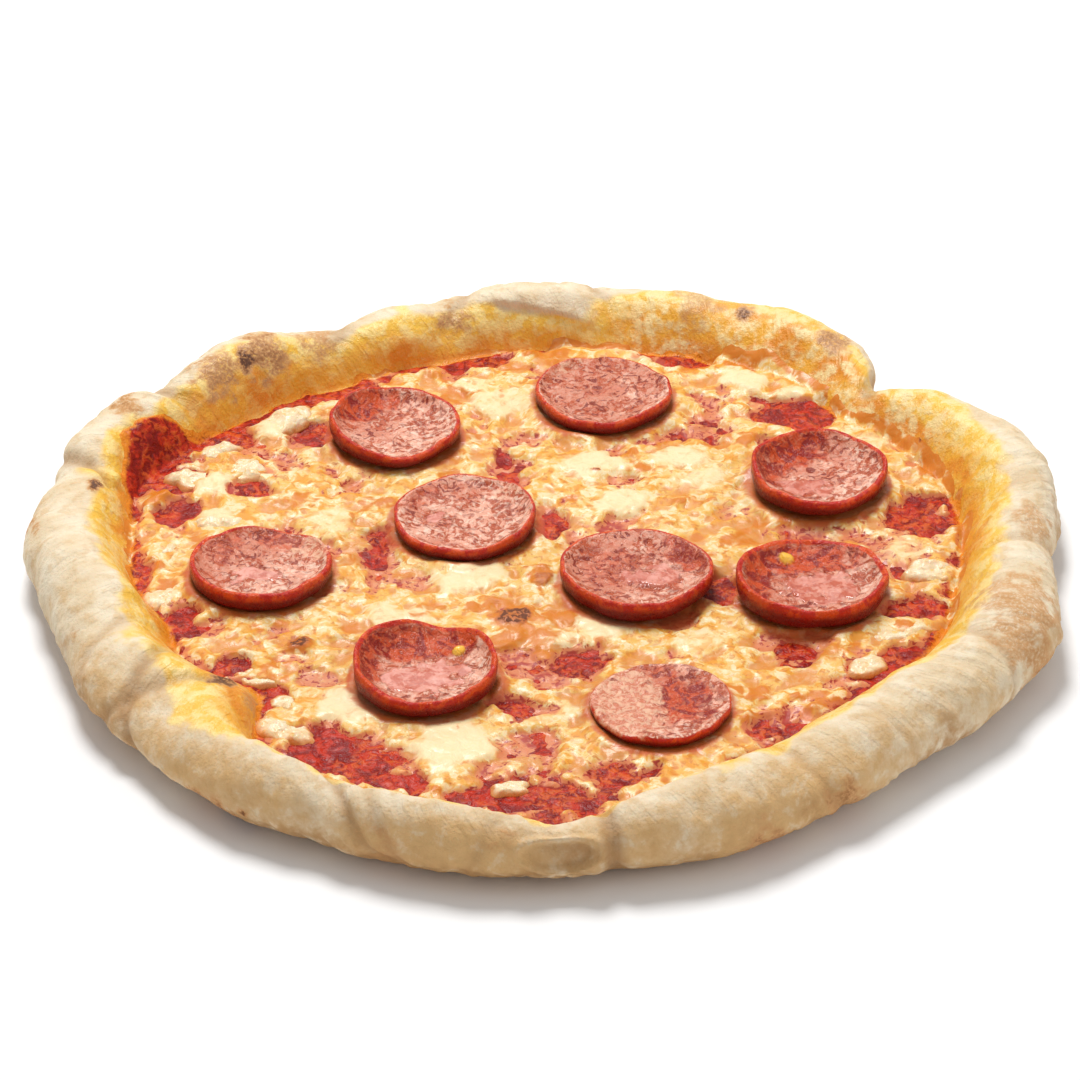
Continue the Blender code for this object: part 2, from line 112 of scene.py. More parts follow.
# The folded lip of dough in the front notch: angle, place over the rim, and their half sizes
LIP_ANGLE = 271.9
LIP_OVER = 2.68
LIP_HALF_ANGLE = 4.4
LIP_HALF_OVER = 0.30

# The flap of pale dough at the back: its ends by angle, and its lower edge by share at each end
FLAP_FROM = 80.0
FLAP_TO = 99.0
FLAP_LOW = 1.22
FLAP_HIGH = 1.74
FLAP_OUT = 1.8

# The strand of cheese that runs from the rim down to the toppings at the left, by pixel and height
STRAND = [(76, 467, 23), (112, 478, 19), (136, 491, 13), (157, 505, 9)]
STRAND_HALF = 1.8
STRAND_OUT = 1.4

# How far up and over the rim the toppings' oil has stained the dough: angle and share (1 foot, 2 crest)
STAIN_REACH = [
    (0, 1.90), (14, 2.05), (26, 2.15), (36, 2.30), (55, 2.60), (72, 2.45), (81, 1.85), (84, 1.70),
    (96, 1.70), (101, 1.90), (110, 2.05), (125, 1.95), (140, 2.10), (152, 1.95), (165, 1.90), (180, 1.75),
    (200, 1.78), (210, 1.95), (218, 2.10), (225, 2.50), (231, 2.10), (237, 1.80), (250, 1.88),
    (262, 1.90), (285, 1.85), (305, 1.95), (320, 1.92), (342, 1.85),
]

# How tan the dough is baked, by angle, from pale and floury at 0
TAN = [
    (0, 0.25), (20, 0.10), (40, 0.35), (60, 0.45), (90, 0.40), (120, 0.45), (140, 0.30), (165, 0.10),
    (195, 0.12), (212, 0.45), (230, 0.75), (270, 0.95), (300, 0.80), (322, 0.50), (340, 0.30),
]

# Toasted and charred spots on the rim, by pixel of the photograph, height, half size and strength
Toast = namedtuple("Toast", "px py height size strength")
TOASTED_SPOTS = [Toast(*row) for row in [
    (94, 487, 20, 2.6, 0.9), (93, 557, 18, 2.4, 0.6), (77, 641, 14, 3.6, 0.35), (127, 405, 20, 6.0, 0.45),
    (249, 359, 22, 5.0, 0.9), (262, 352, 22, 9.0, 0.55), (216, 372, 21, 9.0, 0.45),
    (318, 340, 20, 8.0, 0.35), (439, 332, 17, 2.2, 0.9), (453, 318, 19, 7.0, 0.4),
    (742, 311, 20, 3.4, 0.7), (700, 300, 20, 10.0, 0.3), (835, 342, 17, 6.0, 0.5),
    (1035, 521, 20, 7.0, 0.3), (1020, 610, 20, 14.0, 0.34), (1012, 640, 18, 9.0, 0.34),
    (1036, 655, 12, 7.0, 0.4), (1046, 676, 6, 5.0, 0.6), (843, 797, 8, 7.0, 0.55),
    (761, 837, 4, 8.0, 0.5), (224, 681, 15, 4.2, 1.0), (210, 686, 16, 2.6, 1.0), (240, 812, 1, 7.0, 0.8),
    (200, 806, 2, 6.0, 0.6), (505, 845, 12, 5.0, 0.3), (392, 845, 6, 9.0, 0.3), (38, 532, 12, 5.0, 0.5),
    (246, 704, 12, 4.0, 0.35),
]]

# Layers on the dough
SAUCE_LIFT = 1.5
CHEESE_BASE = 1.0
CHEESE_RISE = 2.2
SAUCE_REACH = [
    (0, 1.06), (76, 1.06), (82, 1.00), (98, 1.00), (104, 1.05), (125, 1.05), (140, 1.08), (147, 1.10),
    (151, 1.60), (157, 1.80), (162, 1.40), (170, 1.06), (230, 1.08), (300, 1.08),
]
CHEESE_REACH = [
    (0, 1.15), (14, 1.22), (30, 1.28), (40, 1.32), (60, 1.28), (75, 1.18), (82, 1.04), (98, 1.04),
    (106, 1.04), (125, 0.98), (150, 1.00), (168, 1.11), (185, 1.13), (205, 1.12), (221, 1.12),
    (232, 1.02), (255, 0.97), (275, 0.98), (290, 1.06), (320, 1.07), (345, 1.12),
]
WALL_LIMIT = 1.6
TOPPED_SHARE = 1.9

# The toppings' grid: its mesh size and half side, and how deep a covered layer ends and is cut off
GRID = 0.8
GRID_REACH = 136.0
HIDDEN = 0.45
CUT_OFF = 1.4 * HIDDEN

# Marks on the cheese by pixel of the photograph: middle, half width, half height, turn and strength.
# Here and in the tables of patches, a turn of 0 and a strength of 1 can be left out.
Mark = namedtuple("Mark", "px py wide high turn strength", defaults=(0, 1.0))
PALE_MARKS = [Mark(*row) for row in [
    (590, 465, 30, 12, 10), (622, 500, 32, 12), (470, 577, 32, 12, 10), (600, 626, 34, 12, -10),
    (400, 618, 30, 13, 0, 0.8), (682, 456, 32, 12, -10, 0.9), (270, 421, 30, 16, 30),
    (448, 746, 40, 22, -5, 1.1), (351, 707, 32, 17, -10), (640, 350, 34, 9, -25), (745, 378, 30, 11, -15),
    (790, 392, 22, 7, 10, 0.9), (213, 485, 24, 11, 10, 0.9), (215, 516, 22, 10, 0, 0.9),
    (700, 480, 26, 12, 0, 0.7), (500, 405, 26, 14, 20, 0.8), (905, 545, 24, 13, 0, 0.6),
    (545, 712, 28, 11, 0, 0.5), (330, 520, 26, 13, 0, 0.6), (750, 500, 14, 14, 0, 0.4),
    (705, 640, 26, 9, 20, 0.5), (880, 440, 26, 8, -20, 0.6), (157, 437, 20, 7, 5),
    (160, 466, 30, 8, 0, 0.6), (420, 345, 20, 7, 0, 0.3), (475, 383, 22, 8, 0, 0.6),
    (570, 640, 26, 8, 0, 0.6),
]]
ORANGE_MARKS = [Mark(*row) for row in [
    (530, 625, 52, 30, 20, 0.70), (560, 655, 50, 20, 0, 0.45), (543, 575, 17, 9),
    (512, 636, 13, 14, 0, 0.9), (545, 653, 24, 7, -5, 0.9), (294, 645, 16, 8), (165, 490, 30, 13, -10),
    (712, 352, 14, 9), (700, 430, 16, 9, -10), (745, 440, 14, 9, 0, 0.8), (528, 350, 16, 8, 0, 0.8),
    (450, 370, 24, 7, 0, 0.6), (780, 712, 80, 7, 14), (900, 655, 34, 5, 30, 0.7),
    (150, 560, 12, 10, 0, 0.8), (840, 365, 26, 12, -20), (925, 470, 16, 20, 30, 0.8),
    (955, 520, 10, 24, 10, 0.9), (565, 800, 14, 8), (500, 655, 14, 8, 0, 0.6), (300, 500, 24, 8, 0, 0.5),
    (870, 575, 14, 8, 0, 0.6), (905, 595, 16, 8, 0, 0.6), (470, 455, 26, 5, 10, 0.4),
    (640, 735, 30, 7, 0, 0.5), (745, 690, 24, 9, 0, 0.6), (505, 790, 20, 6, 0, 0.7),
    (350, 560, 30, 8, 20, 0.5), (425, 610, 20, 6, 20, 0.5), (830, 650, 22, 8, 0, 0.5),
    (690, 500, 22, 5, 0, 0.5), (660, 520, 30, 5, 0, 0.4), (900, 430, 24, 8, -10, 0.6),
    (235, 655, 16, 8, 0, 0.6),
]]
SCORCHED_MARKS = [Mark(*row) for row in [
    (517, 617, 17, 8, 10), (293, 643, 14, 7, -10), (545, 580, 9, 5, 0, 0.5), (597, 471, 5, 2, 0, 0.7),
    (848, 372, 6, 4, 0, 0.6), (360, 651, 4, 2, 0, 0.5), (953, 449, 3, 2, 0, 0.9),
    (920, 446, 2, 3, 0, 0.9),
]]
# Thin cheese through which the sauce shines pink
SHEER_MARKS = [Mark(*row) for row in [
    (505, 455, 10, 8), (515, 480, 16, 8, 30, 0.9), (375, 560, 8, 26, 0, 0.8), (420, 580, 16, 6, 0, 0.7),
    (225, 445, 30, 8, 20, 0.8), (240, 480, 22, 8, 20), (170, 465, 34, 8, 10, 0.6),
    (280, 530, 24, 6, 10, 0.8), (610, 452, 24, 5, 20, 0.8), (735, 510, 18, 7, 0, 0.6),
    (725, 590, 18, 14, 0, 0.9), (675, 615, 26, 10, 30, 0.8), (585, 665, 26, 10, 0, 0.9),
    (515, 705, 18, 8, -20), (640, 700, 20, 8, 0, 0.6), (320, 675, 28, 8, 10, 0.8),
    (290, 655, 22, 6, 0, 0.6), (800, 405, 40, 10, 0, 0.9), (870, 420, 20, 8, -20, 0.7),
    (790, 640, 40, 8, 5, 0.8), (880, 520, 20, 8, 0, 0.4), (560, 520, 12, 16, 0, 0.8),
    (690, 560, 12, 14, 0, 0.4), (450, 355, 34, 9, 0, 0.7), (840, 680, 20, 6, 20, 0.8),
    (335, 590, 20, 8, 0, 0.6), (200, 625, 20, 8, 20, 0.7), (490, 760, 30, 8, 0, 0.5),
    (610, 760, 24, 6, 10, 0.6), (345, 640, 20, 6, 0, 0.4),
]]
MARK_HEIGHT = 9.0

# Windows in the cheese where the sauce shows: x, y, half length, half breadth, turn and strength
SAUCE_WINDOWS = [Patch(*row) for row in [
    (-112, 44, 10, 7, -30), (-96, 66, 13, 6, 38), (-79, 83, 11, 6, 40), (-60, 95, 11, 6, 28),
    (-70, 70, 7, 8, 0, 0.9), (-86, 38, 6, 5), (-106, 24, 8, 6, 70, 0.9), (-102, -33, 6, 7),
    (-87, -55, 6, 5, 20), (-75, -70, 6, 5, -30), (-50, -98, 20, 10, -28, 1.1), (-3, -117, 18, 9, 0, 1.1),
    (21, -108, 9, 6, 10), (-6, -75, 8, 6, 0, 0.9), (10, -52, 7, 6, 0, 0.8), (3, 18, 4, 11, 10, 0.9),
    (-10, 50, 5, 7, 0, 0.8), (52, -17, 5, 9), (48, 68, 8, 5, -20, 0.8), (79, 82, 13, 8, 12, 0.8),
    (69, 61, 4, 6, 0, 0.8), (44, 113, 11, 5, -14, 0.9), (-18, 112, 12, 6, 4, 0.9),
    (113, 22, 8, 11, 0, 0.9), (106, -26, 9, 5, 15, 0.9), (99, -54, 11, 5, 36), (63, -84, 10, 5, 24, 0.35),
    (72, -50, 5, 6, 0, 0.8), (-46, 3, 4, 12, 8, 0.7),
]]

Slice = namedtuple("Slice", "x y radius rise side lopsided tilt fold_side fold skin speckled")
PEPPERONI = [
    Slice(-43.7, 64.9, 19.6, 3.8, 140, 0.50, 1.0, 100, 0.0, 0.935, 0.35),
    Slice(19.2, 85.2, 20.7, 2.2, 250, 0.30, 0.5, 0, 0.0, 0.950, 0.80),
    Slice(82.5, 37.8, 20.1, 5.0, 140, 0.35, 1.5, 215, 2.0, 0.925, 0.45),
    Slice(-22.0, 15.9, 21.4, 3.0, 330, 0.35, 0.5, 60, 0.8, 0.950, 0.22),
    Slice(-80.5, -10.8, 20.6, 3.6, 250, 0.35, 0.0, 70, 1.2, 0.925, 0.30),
    Slice(27.9, -15.5, 21.6, 3.6, 265, 0.45, 2.0, 10, 0.8, 0.945, 0.65),
    Slice(77.7, -20.2, 21.5, 5.4, 250, 0.20, 0.0, 5, 1.6, 0.915, 0.45),
    Slice(-31.8, -64.1, 20.6, 5.4, 120, 0.20, 0.5, 75, 2.4, 0.915, 0.40),
    Slice(33.2, -79.2, 19.2, 1.2, 320, 0.60, 0.5, 0, 0.0, 0.975, 0.50),
]

# Patches on the slices, measured from each slice's middle: slice number, then a patch
POOLS = [
    (3, -4, -8.0, 10.0, 7.0, 10), (4, -8, -1.5, 5.5, 6.0, 0, 0.4), (5, -3, -5.0, 9.0, 4.5, 10, 0.7),
    (6, 5, -1.0, 8.0, 5.0, 0, 0.9), (7, 3, -2.0, 10.0, 8.0, 10), (8, 0, -3.0, 12.5, 8.0),
    (1, 6, -6.0, 5.0, 6.0, 0, 0.4),
]
# Dark glazed meat, mostly on the back inner walls of the cups, where it is partly painted shade: slice
# number, then a patch
DARK_MEAT_AND_SHADE = [
    (1, -10, 11, 12, 6.0, 40, 0.9), (2, 0, 2, 9, 3.0, 20, 0.35), (3, -7, 12, 14, 6.0, 30),
    (3, -16, 0, 5, 8.0, 0, 0.7), (4, -14, 9, 8, 3.5, 40, 0.45), (4, -8, -15, 9, 3.0, -15, 0.4),
    (5, -12, 9, 9, 5.0, 40, 0.55), (5, 6, 13, 10, 4.0, -15, 0.6), (6, -8, 4, 12, 10.0, 20, 0.45),
    (6, 15, 8, 5, 10.0, 30, 0.7), (7, -4, 12, 16, 6.0, 5), (7, -15, 0, 4, 10.0, 0, 0.9),
    (8, -7, 10, 10, 5.0, 10, 0.8), (8, 8, 12, 7, 4.0, -20), (8, -16, 0, 4, 8.0, 0, 0.7),
    (8, 1, 15, 14, 5.0, 0, 0.8), (9, 6, 2, 9, 12.0, 20, 0.9), (9, -2, 14, 10, 4.0, 0, 0.5),
]

# Thin cheese that has run over a slice
FILMS = [
    (9, -9, 0, 11, 15), (5, 16, 9, 6, 6, 0, 0.9), (4, 14, 12, 5, 4, 0, 0.5), (2, -12, 15, 8, 4, 30, 0.5),
]

# Beads of set fat: slice number, place from its middle, half size
BEADS = [
    (8, 9.0, 9.5, 2.0),
    (7, -6.5, 13.0, 2.3),
]
SLICE_THICK = 2.2
BOAT = 0.20
SLICE_REST = FLOOR + 3.9
SLICE_STEPS = 150
SLICE_LEVELS = 84
LUMP_STEPS = 84
LUMP_LEVELS = 30
# Across a slice, from the middle of its top, over the lip to the middle of its underside:
# share of the radius, share of the thickness, share of the wall's rise
SLICE_PROFILE = [
    (0.0, 1.0, 0.0), (0.50, 1.0, 0.02), (0.70, 1.0, 0.13), (0.83, 1.0, 0.42), (0.915, 1.0, 0.82),
    (0.962, 1.0, 1.0), (0.988, 0.97, 1.0), (1.0, 0.84, 0.95), (1.005, 0.45, 0.62), (0.99, 0.12, 0.30),
    (0.95, 0.0, 0.14), (0.85, 0.0, 0.04), (0.60, 0.0, 0.0), (0.0, 0.0, 0.0),
]

Lump = namedtuple("Lump", "x y long short turn height")
MOZZARELLA = [Lump(*row) for row in [
    (-97, 59, 6, 4, 25, 2.6), (-78, 75, 10, 6, 48, 3.4), (-104, 43, 8, 5, -10, 2.8),
    (-88, 49, 7, 5, 15, 2.6), (-94, 20, 9, 6, 8, 3.0), (-107, 2, 4, 5, 0, 2.2),
    (-108, -20, 5, 6, 10, 2.6), (-78, -61, 6, 4, -20, 2.2), (-70, -73, 5, 4, 0, 2.2),
    (-70, -87, 8, 5, -30, 2.8), (-8, -113, 6, 4, 5, 2.2), (112, -8, 7, 6, 20, 3.4),
    (102, -38, 9, 5, 18, 2.8), (92, -55, 7, 4, 30, 2.6),
]]


# Numbers

def smooth(low, high, value):
    share = np.clip((value - low) / (high - low), 0.0, 1.0)
    return share * share * (3.0 - 2.0 * share)


def lattice(ix, iy, iz, seed):
    """An even draw from -1 to 1 for each point of a whole-number lattice."""
    mixed = ix * 374761393 + iy * 668265263 + iz * 1440662683 + seed * 1013904223
    mixed = (mixed ^ (mixed >> 13)) & 0xFFFFFFFF
    mixed = (mixed * 1274126177) & 0xFFFFFFFF
    mixed = mixed ^ (mixed >> 16)
    return (mixed & 0xFFFF) / 32767.5 - 1.0


def value_noise(x, y, z, seed):
    corners = [np.floor(axis).astype(np.int64) for axis in (x, y, z)]
    shares = [axis - corner for axis, corner in zip((x, y, z), corners)]
    ease = [share ** 3 * (share * (share * 6.0 - 15.0) + 10.0) for share in shares]
    total = np.zeros_like(x, dtype=float)
    for dx in (0, 1):
        for dy in (0, 1):
            for dz in (0, 1):
                weight = (ease[0] if dx else 1.0 - ease[0]) * (ease[1] if dy else 1.0 - ease[1])
                weight = weight * (ease[2] if dz else 1.0 - ease[2])
                total += weight * lattice(corners[0] + dx, corners[1] + dy, corners[2] + dz, seed)
    return total


def clouds(x, y, z, size, octaves, seed):
    """Layered noise about 0, with features of the given size in millimetres."""
    total = np.zeros(np.broadcast(x, y, z).shape)
    strength = 1.0
    for octave in range(octaves):
        scale = 2.03 ** octave / size
        total += strength * value_noise(x * scale + 31.7 * octave, y * scale, z * scale, seed + octave)
        strength *= 0.5
    return total


def flat_clouds(x, y, size, octaves, seed):
    return clouds(x, y, np.zeros_like(x) + 0.37, size, octaves, seed)


def ring_table(angles, values):
    """The values at every half degree, joined by straight runs and then softened round the ring."""
    places = np.arange(0.0, 360.0, 0.5)
    joined = np.interp(places, angles, values, period=360)
    offsets = np.arange(-24, 25)
    weights = np.exp(-0.5 * (offsets * 0.5 / ROUNDING) ** 2)
    weights /= weights.sum()
    return sum(weight * np.roll(joined, -offset) for weight, offset in zip(weights, offsets))


def at_angle(table, angle):
    return np.interp(angle, np.arange(0.0, 360.0, 0.5), table, period=360)


def ring_of(pairs):
    return ring_table([pair[0] for pair in pairs], [pair[1] for pair in pairs])


def gap_between(angle, other):
    return (angle - other + 180.0) % 360.0 - 180.0


RIM_RADIUS = ring_table([station.angle for station in RIM], [station.radius for station in RIM])
RIM_HEIGHT = ring_table([station.angle for station in RIM], [station.height for station in RIM])
RIM_WIDTH = ring_table([station.angle for station in RIM], [station.width for station in RIM])
SAUCE_END = ring_of(SAUCE_REACH)
CHEESE_END = ring_of(CHEESE_REACH)
STAIN_END = ring_of(STAIN_REACH)
TAN_ROUND = ring_of(TAN)


# Camera geometry

CAMERA_BACK = Vector((0.0, -math.cos(ELEVATION), math.sin(ELEVATION)))
CAMERA_UP = Vector((0.0, math.sin(ELEVATION), math.cos(ELEVATION)))
CAMERA_PLACE = CAMERA_UP * AIM_UP + CAMERA_BACK * DISTANCE


def cast(px, py, height):
    """The point at a height, in millimetres, that the photograph shows at a pixel."""
    middle = PHOTO_SIDE / 2.0
    ray = Vector(((px - middle) / FOCAL_PIXELS, 0.0, 0.0)) - CAMERA_BACK
    ray += CAMERA_UP * ((middle - py) / FOCAL_PIXELS)
    return CAMERA_PLACE + ray * ((height - CAMERA_PLACE.z) / ray.z)


# Dough surface

def rim_at(angle):
    """Widest radius, inner foot radius, crest radius and crest height at each angle."""
    outer = at_angle(RIM_RADIUS, angle)
    height = at_angle(RIM_HEIGHT, angle)
    foot = outer - at_angle(RIM_WIDTH, angle)
    for pinch in PINCHES:
        strength = np.exp(-(gap_between(angle, pinch.angle) / pinch.spread) ** 2)
        outer = outer - strength * pinch.inward
        height = height - strength * pinch.down
    for lobe in LOBES:
        foot = foot - lobe.inward * np.exp(-(gap_between(angle, lobe.angle) / lobe.spread) ** 2)
    return outer, foot, foot + CREST_SHARE * (outer - foot), height


def share_at(x, y):
    """How far out a place is: 0 in the middle, 1 at the rim's inner foot, 2 at its crest."""
    radius = np.hypot(x, y)
    _, foot, crest, _ = rim_at(np.degrees(np.arctan2(y, x)))
    return np.where(radius < foot, radius / foot, 1.0 + (radius - foot) / (crest - foot))


def reach_radius(table, angle):
    """The radius at which a share from a table falls, at each angle."""
    share = at_angle(table, angle)
    _, foot, crest, _ = rim_at(angle)
    return np.where(share < 1.0, share * foot, foot + (share - 1.0) * (crest - foot))


def dough_height(x, y):
    """The height of the dough's upper side inside its crest."""
    _, _, _, height = rim_at(np.degrees(np.arctan2(y, x)))
    up = np.clip(share_at(x, y) - 1.0, 0.0, 1.0)
    return FLOOR + (1.0 - (1.0 - up) ** INNER_FULLNESS) * (height - FLOOR)


# Meshes

def new_mesh_object(name, points, faces, attributes, uv=None):
    """A smooth-shaded object of points in millimetres, with named numbers on its vertices."""
    mesh = bpy.data.meshes.new(name)
    mesh.from_pydata((points * MM).tolist(), [], faces)
    for label, values in attributes.items():
        if values.ndim == 2:
            layer = mesh.attributes.new(label, "FLOAT_VECTOR", "POINT")
            layer.data.foreach_set("vector", (values * MM).astype(np.float32).ravel())
        else:
            layer = mesh.attributes.new(label, "FLOAT", "POINT")
            layer.data.foreach_set("value", values.astype(np.float32))
    if uv is not None:
        layer = mesh.uv_layers.new(name="OFBake")
        layer.data.foreach_set("uv", uv.astype(np.float32).ravel())
    mesh.validate()
    mesh.shade_smooth()
    made = bpy.data.objects.new(name, mesh)
    bpy.context.scene.collection.objects.link(made)
    return made


def dress(piece, material, node):
    """Gives a piece its material and slot, rides it on the one body and lets it replace its node."""
    piece.data.materials.append(material)
    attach(piece, "root")
    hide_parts(node)


def polar_faces(levels, steps):
    """Faces and UVs of a closed turned mesh: level 0 and the last level are single points."""
    last = levels - 1
    faces, uv = [], []

    def point(level, step):
        return 0 if level == 0 else 1 + (level - 1) * steps + (step % steps if level < last else 0)

    for level in range(last):
        for step in range(steps):
            corners = [(level, step), (level + 1, step), (level + 1, step + 1), (level, step + 1)]
            if level == 0:
                del corners[3]
            if level == last - 1:
                del corners[2]
            faces.append([point(*corner) for corner in corners])
            uv += [(across / steps, down / last) for down, across in corners]
    return faces, np.array(uv)


def flatten_levels(values):
    """Numbers on the levels of a polar grid, with the first and last level as single points."""
    tail = values.shape[2:]
    return np.concatenate([values[:1, 0], values[1:-1].reshape((-1,) + tail), values[-1:, 0]])


def polar_object(name, points, attributes):
    levels, steps = points.shape[:2]
    faces, uv = polar_faces(levels, steps)
    flat = {label: flatten_levels(values) for label, values in attributes.items()}
    return new_mesh_object(name, flatten_levels(points), faces, flat, uv)


def grid_normals(points):
    """Normals of a polar grid whose levels run outwards over the top."""
    along = np.gradient(points, axis=0)
    around = np.roll(points, -1, axis=1) - np.roll(points, 1, axis=1)
    normals = np.cross(along, around)
    return normals / np.maximum(np.linalg.norm(normals, axis=2, keepdims=True), 1e-9)


# Crust

CRUST_STEPS = 720
FLOOR_LEVELS = [0.0, 0.5, 0.85, 0.95]
SLOPE_LEVELS = 22
ARC_LEVELS = 26
BELLY_LEVELS = 16
UNDER_LEVELS = [0.985, 0.9, 0.6, 0.3, 0.0]


def crust_grid():
    """Points of the plain dough, and how far over the rim each level is: 2 crest, 3 widest, 4 contact."""
    angle = np.arange(CRUST_STEPS) * 360.0 / CRUST_STEPS
    outer, foot, crest, height = rim_at(angle)
    widest = WIDEST * height
    rows = [(share * foot, FLOOR, share) for share in FLOOR_LEVELS]
    for level in range(SLOPE_LEVELS + 1):
        up = level / SLOPE_LEVELS
        rise = 1.0 - (1.0 - up) ** INNER_FULLNESS
        rows.append((foot + up * (crest - foot), FLOOR + rise * (height - FLOOR), 1.0 + up))
    for level in range(1, ARC_LEVELS + 1):
        turn = math.radians(90.0 * (1.0 - level / ARC_LEVELS))
        out = math.cos(turn) ** 0.9
        arc = widest + math.sin(turn) * (height - widest)
        rows.append((crest + out * (outer - crest), arc, 2.0 + level / ARC_LEVELS))
    for level in range(1, BELLY_LEVELS + 1):
        down = level / BELLY_LEVELS
        rows.append((outer - FOOT_INSET * down ** 1.7, widest * (1.0 - down), 3.0 + down))
    rows += [(share * (outer - FOOT_INSET), 0.0, 5.0 - share) for share in UNDER_LEVELS]
    radius, z, over = [np.array([np.broadcast_to(part, angle.shape) for part in parts])
                       for parts in zip(*rows)]
    turned = np.radians(angle)[None, :]
    return np.stack([radius * np.cos(turned), radius * np.sin(turned), z], axis=2), over


def crease_depth(angle, over):
    """Depth of the fine creases at each angle and place over the rim."""
    depth = np.zeros_like(over)
    for crease in CREASES:
        centre = crease.angle + crease.lean * (over - 2.0)
        line = np.exp(-(gap_between(angle, centre) / crease.spread) ** 2)
        depth += crease.depth * line * smooth(1.3, 1.8, over) * smooth(4.0, 3.2, over)
    return depth


def seen_away(points, place, lax):
    """How far points are from a place, with little weight on depth from the camera."""
    away = points - np.array(place)
    depth = away @ np.array(CAMERA_BACK)
    return np.sqrt(np.maximum((away ** 2).sum(axis=2) - lax * depth ** 2, 0.0))


def toasted(points):
    """How brown the named spots make each point, with broken edges."""
    x, y, z = points[..., 0], points[..., 1], points[..., 2]
    ragged = 0.45 * clouds(x, y, z, 3.2, 3, 71)
    brown = np.zeros_like(x)
    for spot in TOASTED_SPOTS:
        away = seen_away(points, cast(spot.px, spot.py, spot.height), 0.8) / spot.size
        brown = np.maximum(brown, spot.strength * smooth(1.25, 0.35, away + ragged))
    return brown


def flap_cover(angle, over):
    """How much of the pale flap at the back covers each place; its lower edge climbs to the left."""
    along = np.clip((angle - FLAP_FROM) / (FLAP_TO - FLAP_FROM), 0.0, 1.0)
    inside = smooth(0.0, 0.35, along) * smooth(1.0, 0.75, along)
    edge = FLAP_LOW + (FLAP_HIGH - FLAP_LOW) * along
    return inside * smooth(edge - 0.03, edge + 0.05, over)


def strand_cover(points):
    """How much of the strand of cheese lies over each point."""
    nearest = np.full(points.shape[:2], 1e3)
    route = [np.array(cast(*stop)) for stop in STRAND]
    for start, end in zip(route, route[1:]):
        run = end - start
        along = np.clip((points - start) @ run / (run @ run), 0.0, 1.0)
        nearest = np.minimum(nearest, seen_away(points - along[..., None] * run, start, 0.97))
    return smooth(1.7, 0.5, nearest / STRAND_HALF)


def lip_rise(angle, over):
    """The oval fold in the front notch: a thin raised edge round a hollow."""
    across = gap_between(angle, LIP_ANGLE) / LIP_HALF_ANGLE
    away = np.hypot(across, (over - LIP_OVER) / LIP_HALF_OVER)
    return 1.3 * np.exp(-((away - 1.0) / 0.14) ** 2) - 1.1 * smooth(0.95, 0.70, away) * (1.0 + 0.5 * across)


def swellings(points):
    """How far the named swellings lift each point."""
    lift = np.zeros(points.shape[:2])
    for swelling in SWELLINGS:
        place = cast(swelling.px, swelling.py, swelling.height)
        away = np.linalg.norm(points - np.array(place), axis=2) / swelling.size
        lift += swelling.out * np.exp(-away ** 2)
    return lift


def make_crust():
    points, over = crust_grid()
    angle = np.broadcast_to((np.arange(CRUST_STEPS) * 360.0 / CRUST_STEPS)[None, :], over.shape)
    normals = grid_normals(points)
    x, y, z = points[..., 0], points[..., 1], points[..., 2]
    free = smooth(1.0, 1.35, over) * smooth(4.0, 3.5, over)
    outside = smooth(1.5, 2.1, over)
    turned = np.radians(angle - 3.5 * (over - 2.0))
    grain = np.stack([145.0 * np.cos(turned), 145.0 * np.sin(turned), 5.0 * over], axis=2)
    flap = flap_cover(angle, over)
    strand = strand_cover(points) * smooth(3.0, 2.6, over)
    swell = 0.9 * clouds(x, y, z, 22.0, 2, 11) + swellings(points)
    swell += FLAP_OUT * flap * smooth(2.2, 1.7, over) + STRAND_OUT * strand
    lumps = 0.42 * clouds(x, y, z, 7.0, 3, 21)
    wrinkled = smooth(-0.5, 0.6, clouds(x, y, z, 34.0, 1, 31)) * outside
    folds = np.abs(clouds(grain[..., 0], grain[..., 1], grain[..., 2], 6.5, 2, 41))
    wrinkles = (0.60 * smooth(0.0, 0.50, folds) - 0.33) * (0.40 + wrinkled)
    creases = crease_depth(angle, over)
    lip = lip_rise(angle, over)
    raised = free * (swell + lumps + wrinkles) - creases + lip
    points = points + normals * raised[..., None]
    points[..., 2] = np.maximum(points[..., 2], 0.0)
    edge = 0.20 * clouds(x, y, z, 9.0, 3, 51)
    end = at_angle(STAIN_END, angle)
    stain = smooth(end + 0.16, end - 0.26, over + edge) * (1.0 - flap)
    cheesy = smooth(18.0, 32.0, angle) * smooth(82.0, 74.0, angle) * smooth(2.35, 1.9, over)
    # Darker from about the widest point down towards the floor: browner baked dough, with painted shade
    # where the belly turns down.
    low = smooth(2.6, 3.6, over + 0.5 * clouds(x, y, z, 14.0, 3, 61))
    tan = at_angle(TAN_ROUND, angle) + 0.35 * clouds(x, y, z, 26.0, 2, 66)
    crust = polar_object("crust_look", points, {
        "stain": stain,
        "deep": smooth(end - 0.25, end - 0.80, over + 1.5 * edge),
        "cheesy": cheesy,
        "strand": strand,
        "toast": toasted(points),
        "low": low,
        # The tan fades on the crest and is full on the outer side: baked colour, with painted shade on the
        # side below the lit crest.
        "tan": np.clip(tan * smooth(1.5, 2.3, over) * (0.5 + 0.5 * smooth(2.1, 2.8, over)), 0.0, 1.0),
        # Painted shade in the creases and in the hollow of the front lip.
        "crease_shade": np.clip(0.7 * creases - 0.6 * np.minimum(lip, 0.0), 0.0, 1.0),
        "grain": grain,
    })
    dress(crust, crust_material(), "crust")
    return crust


# Materials

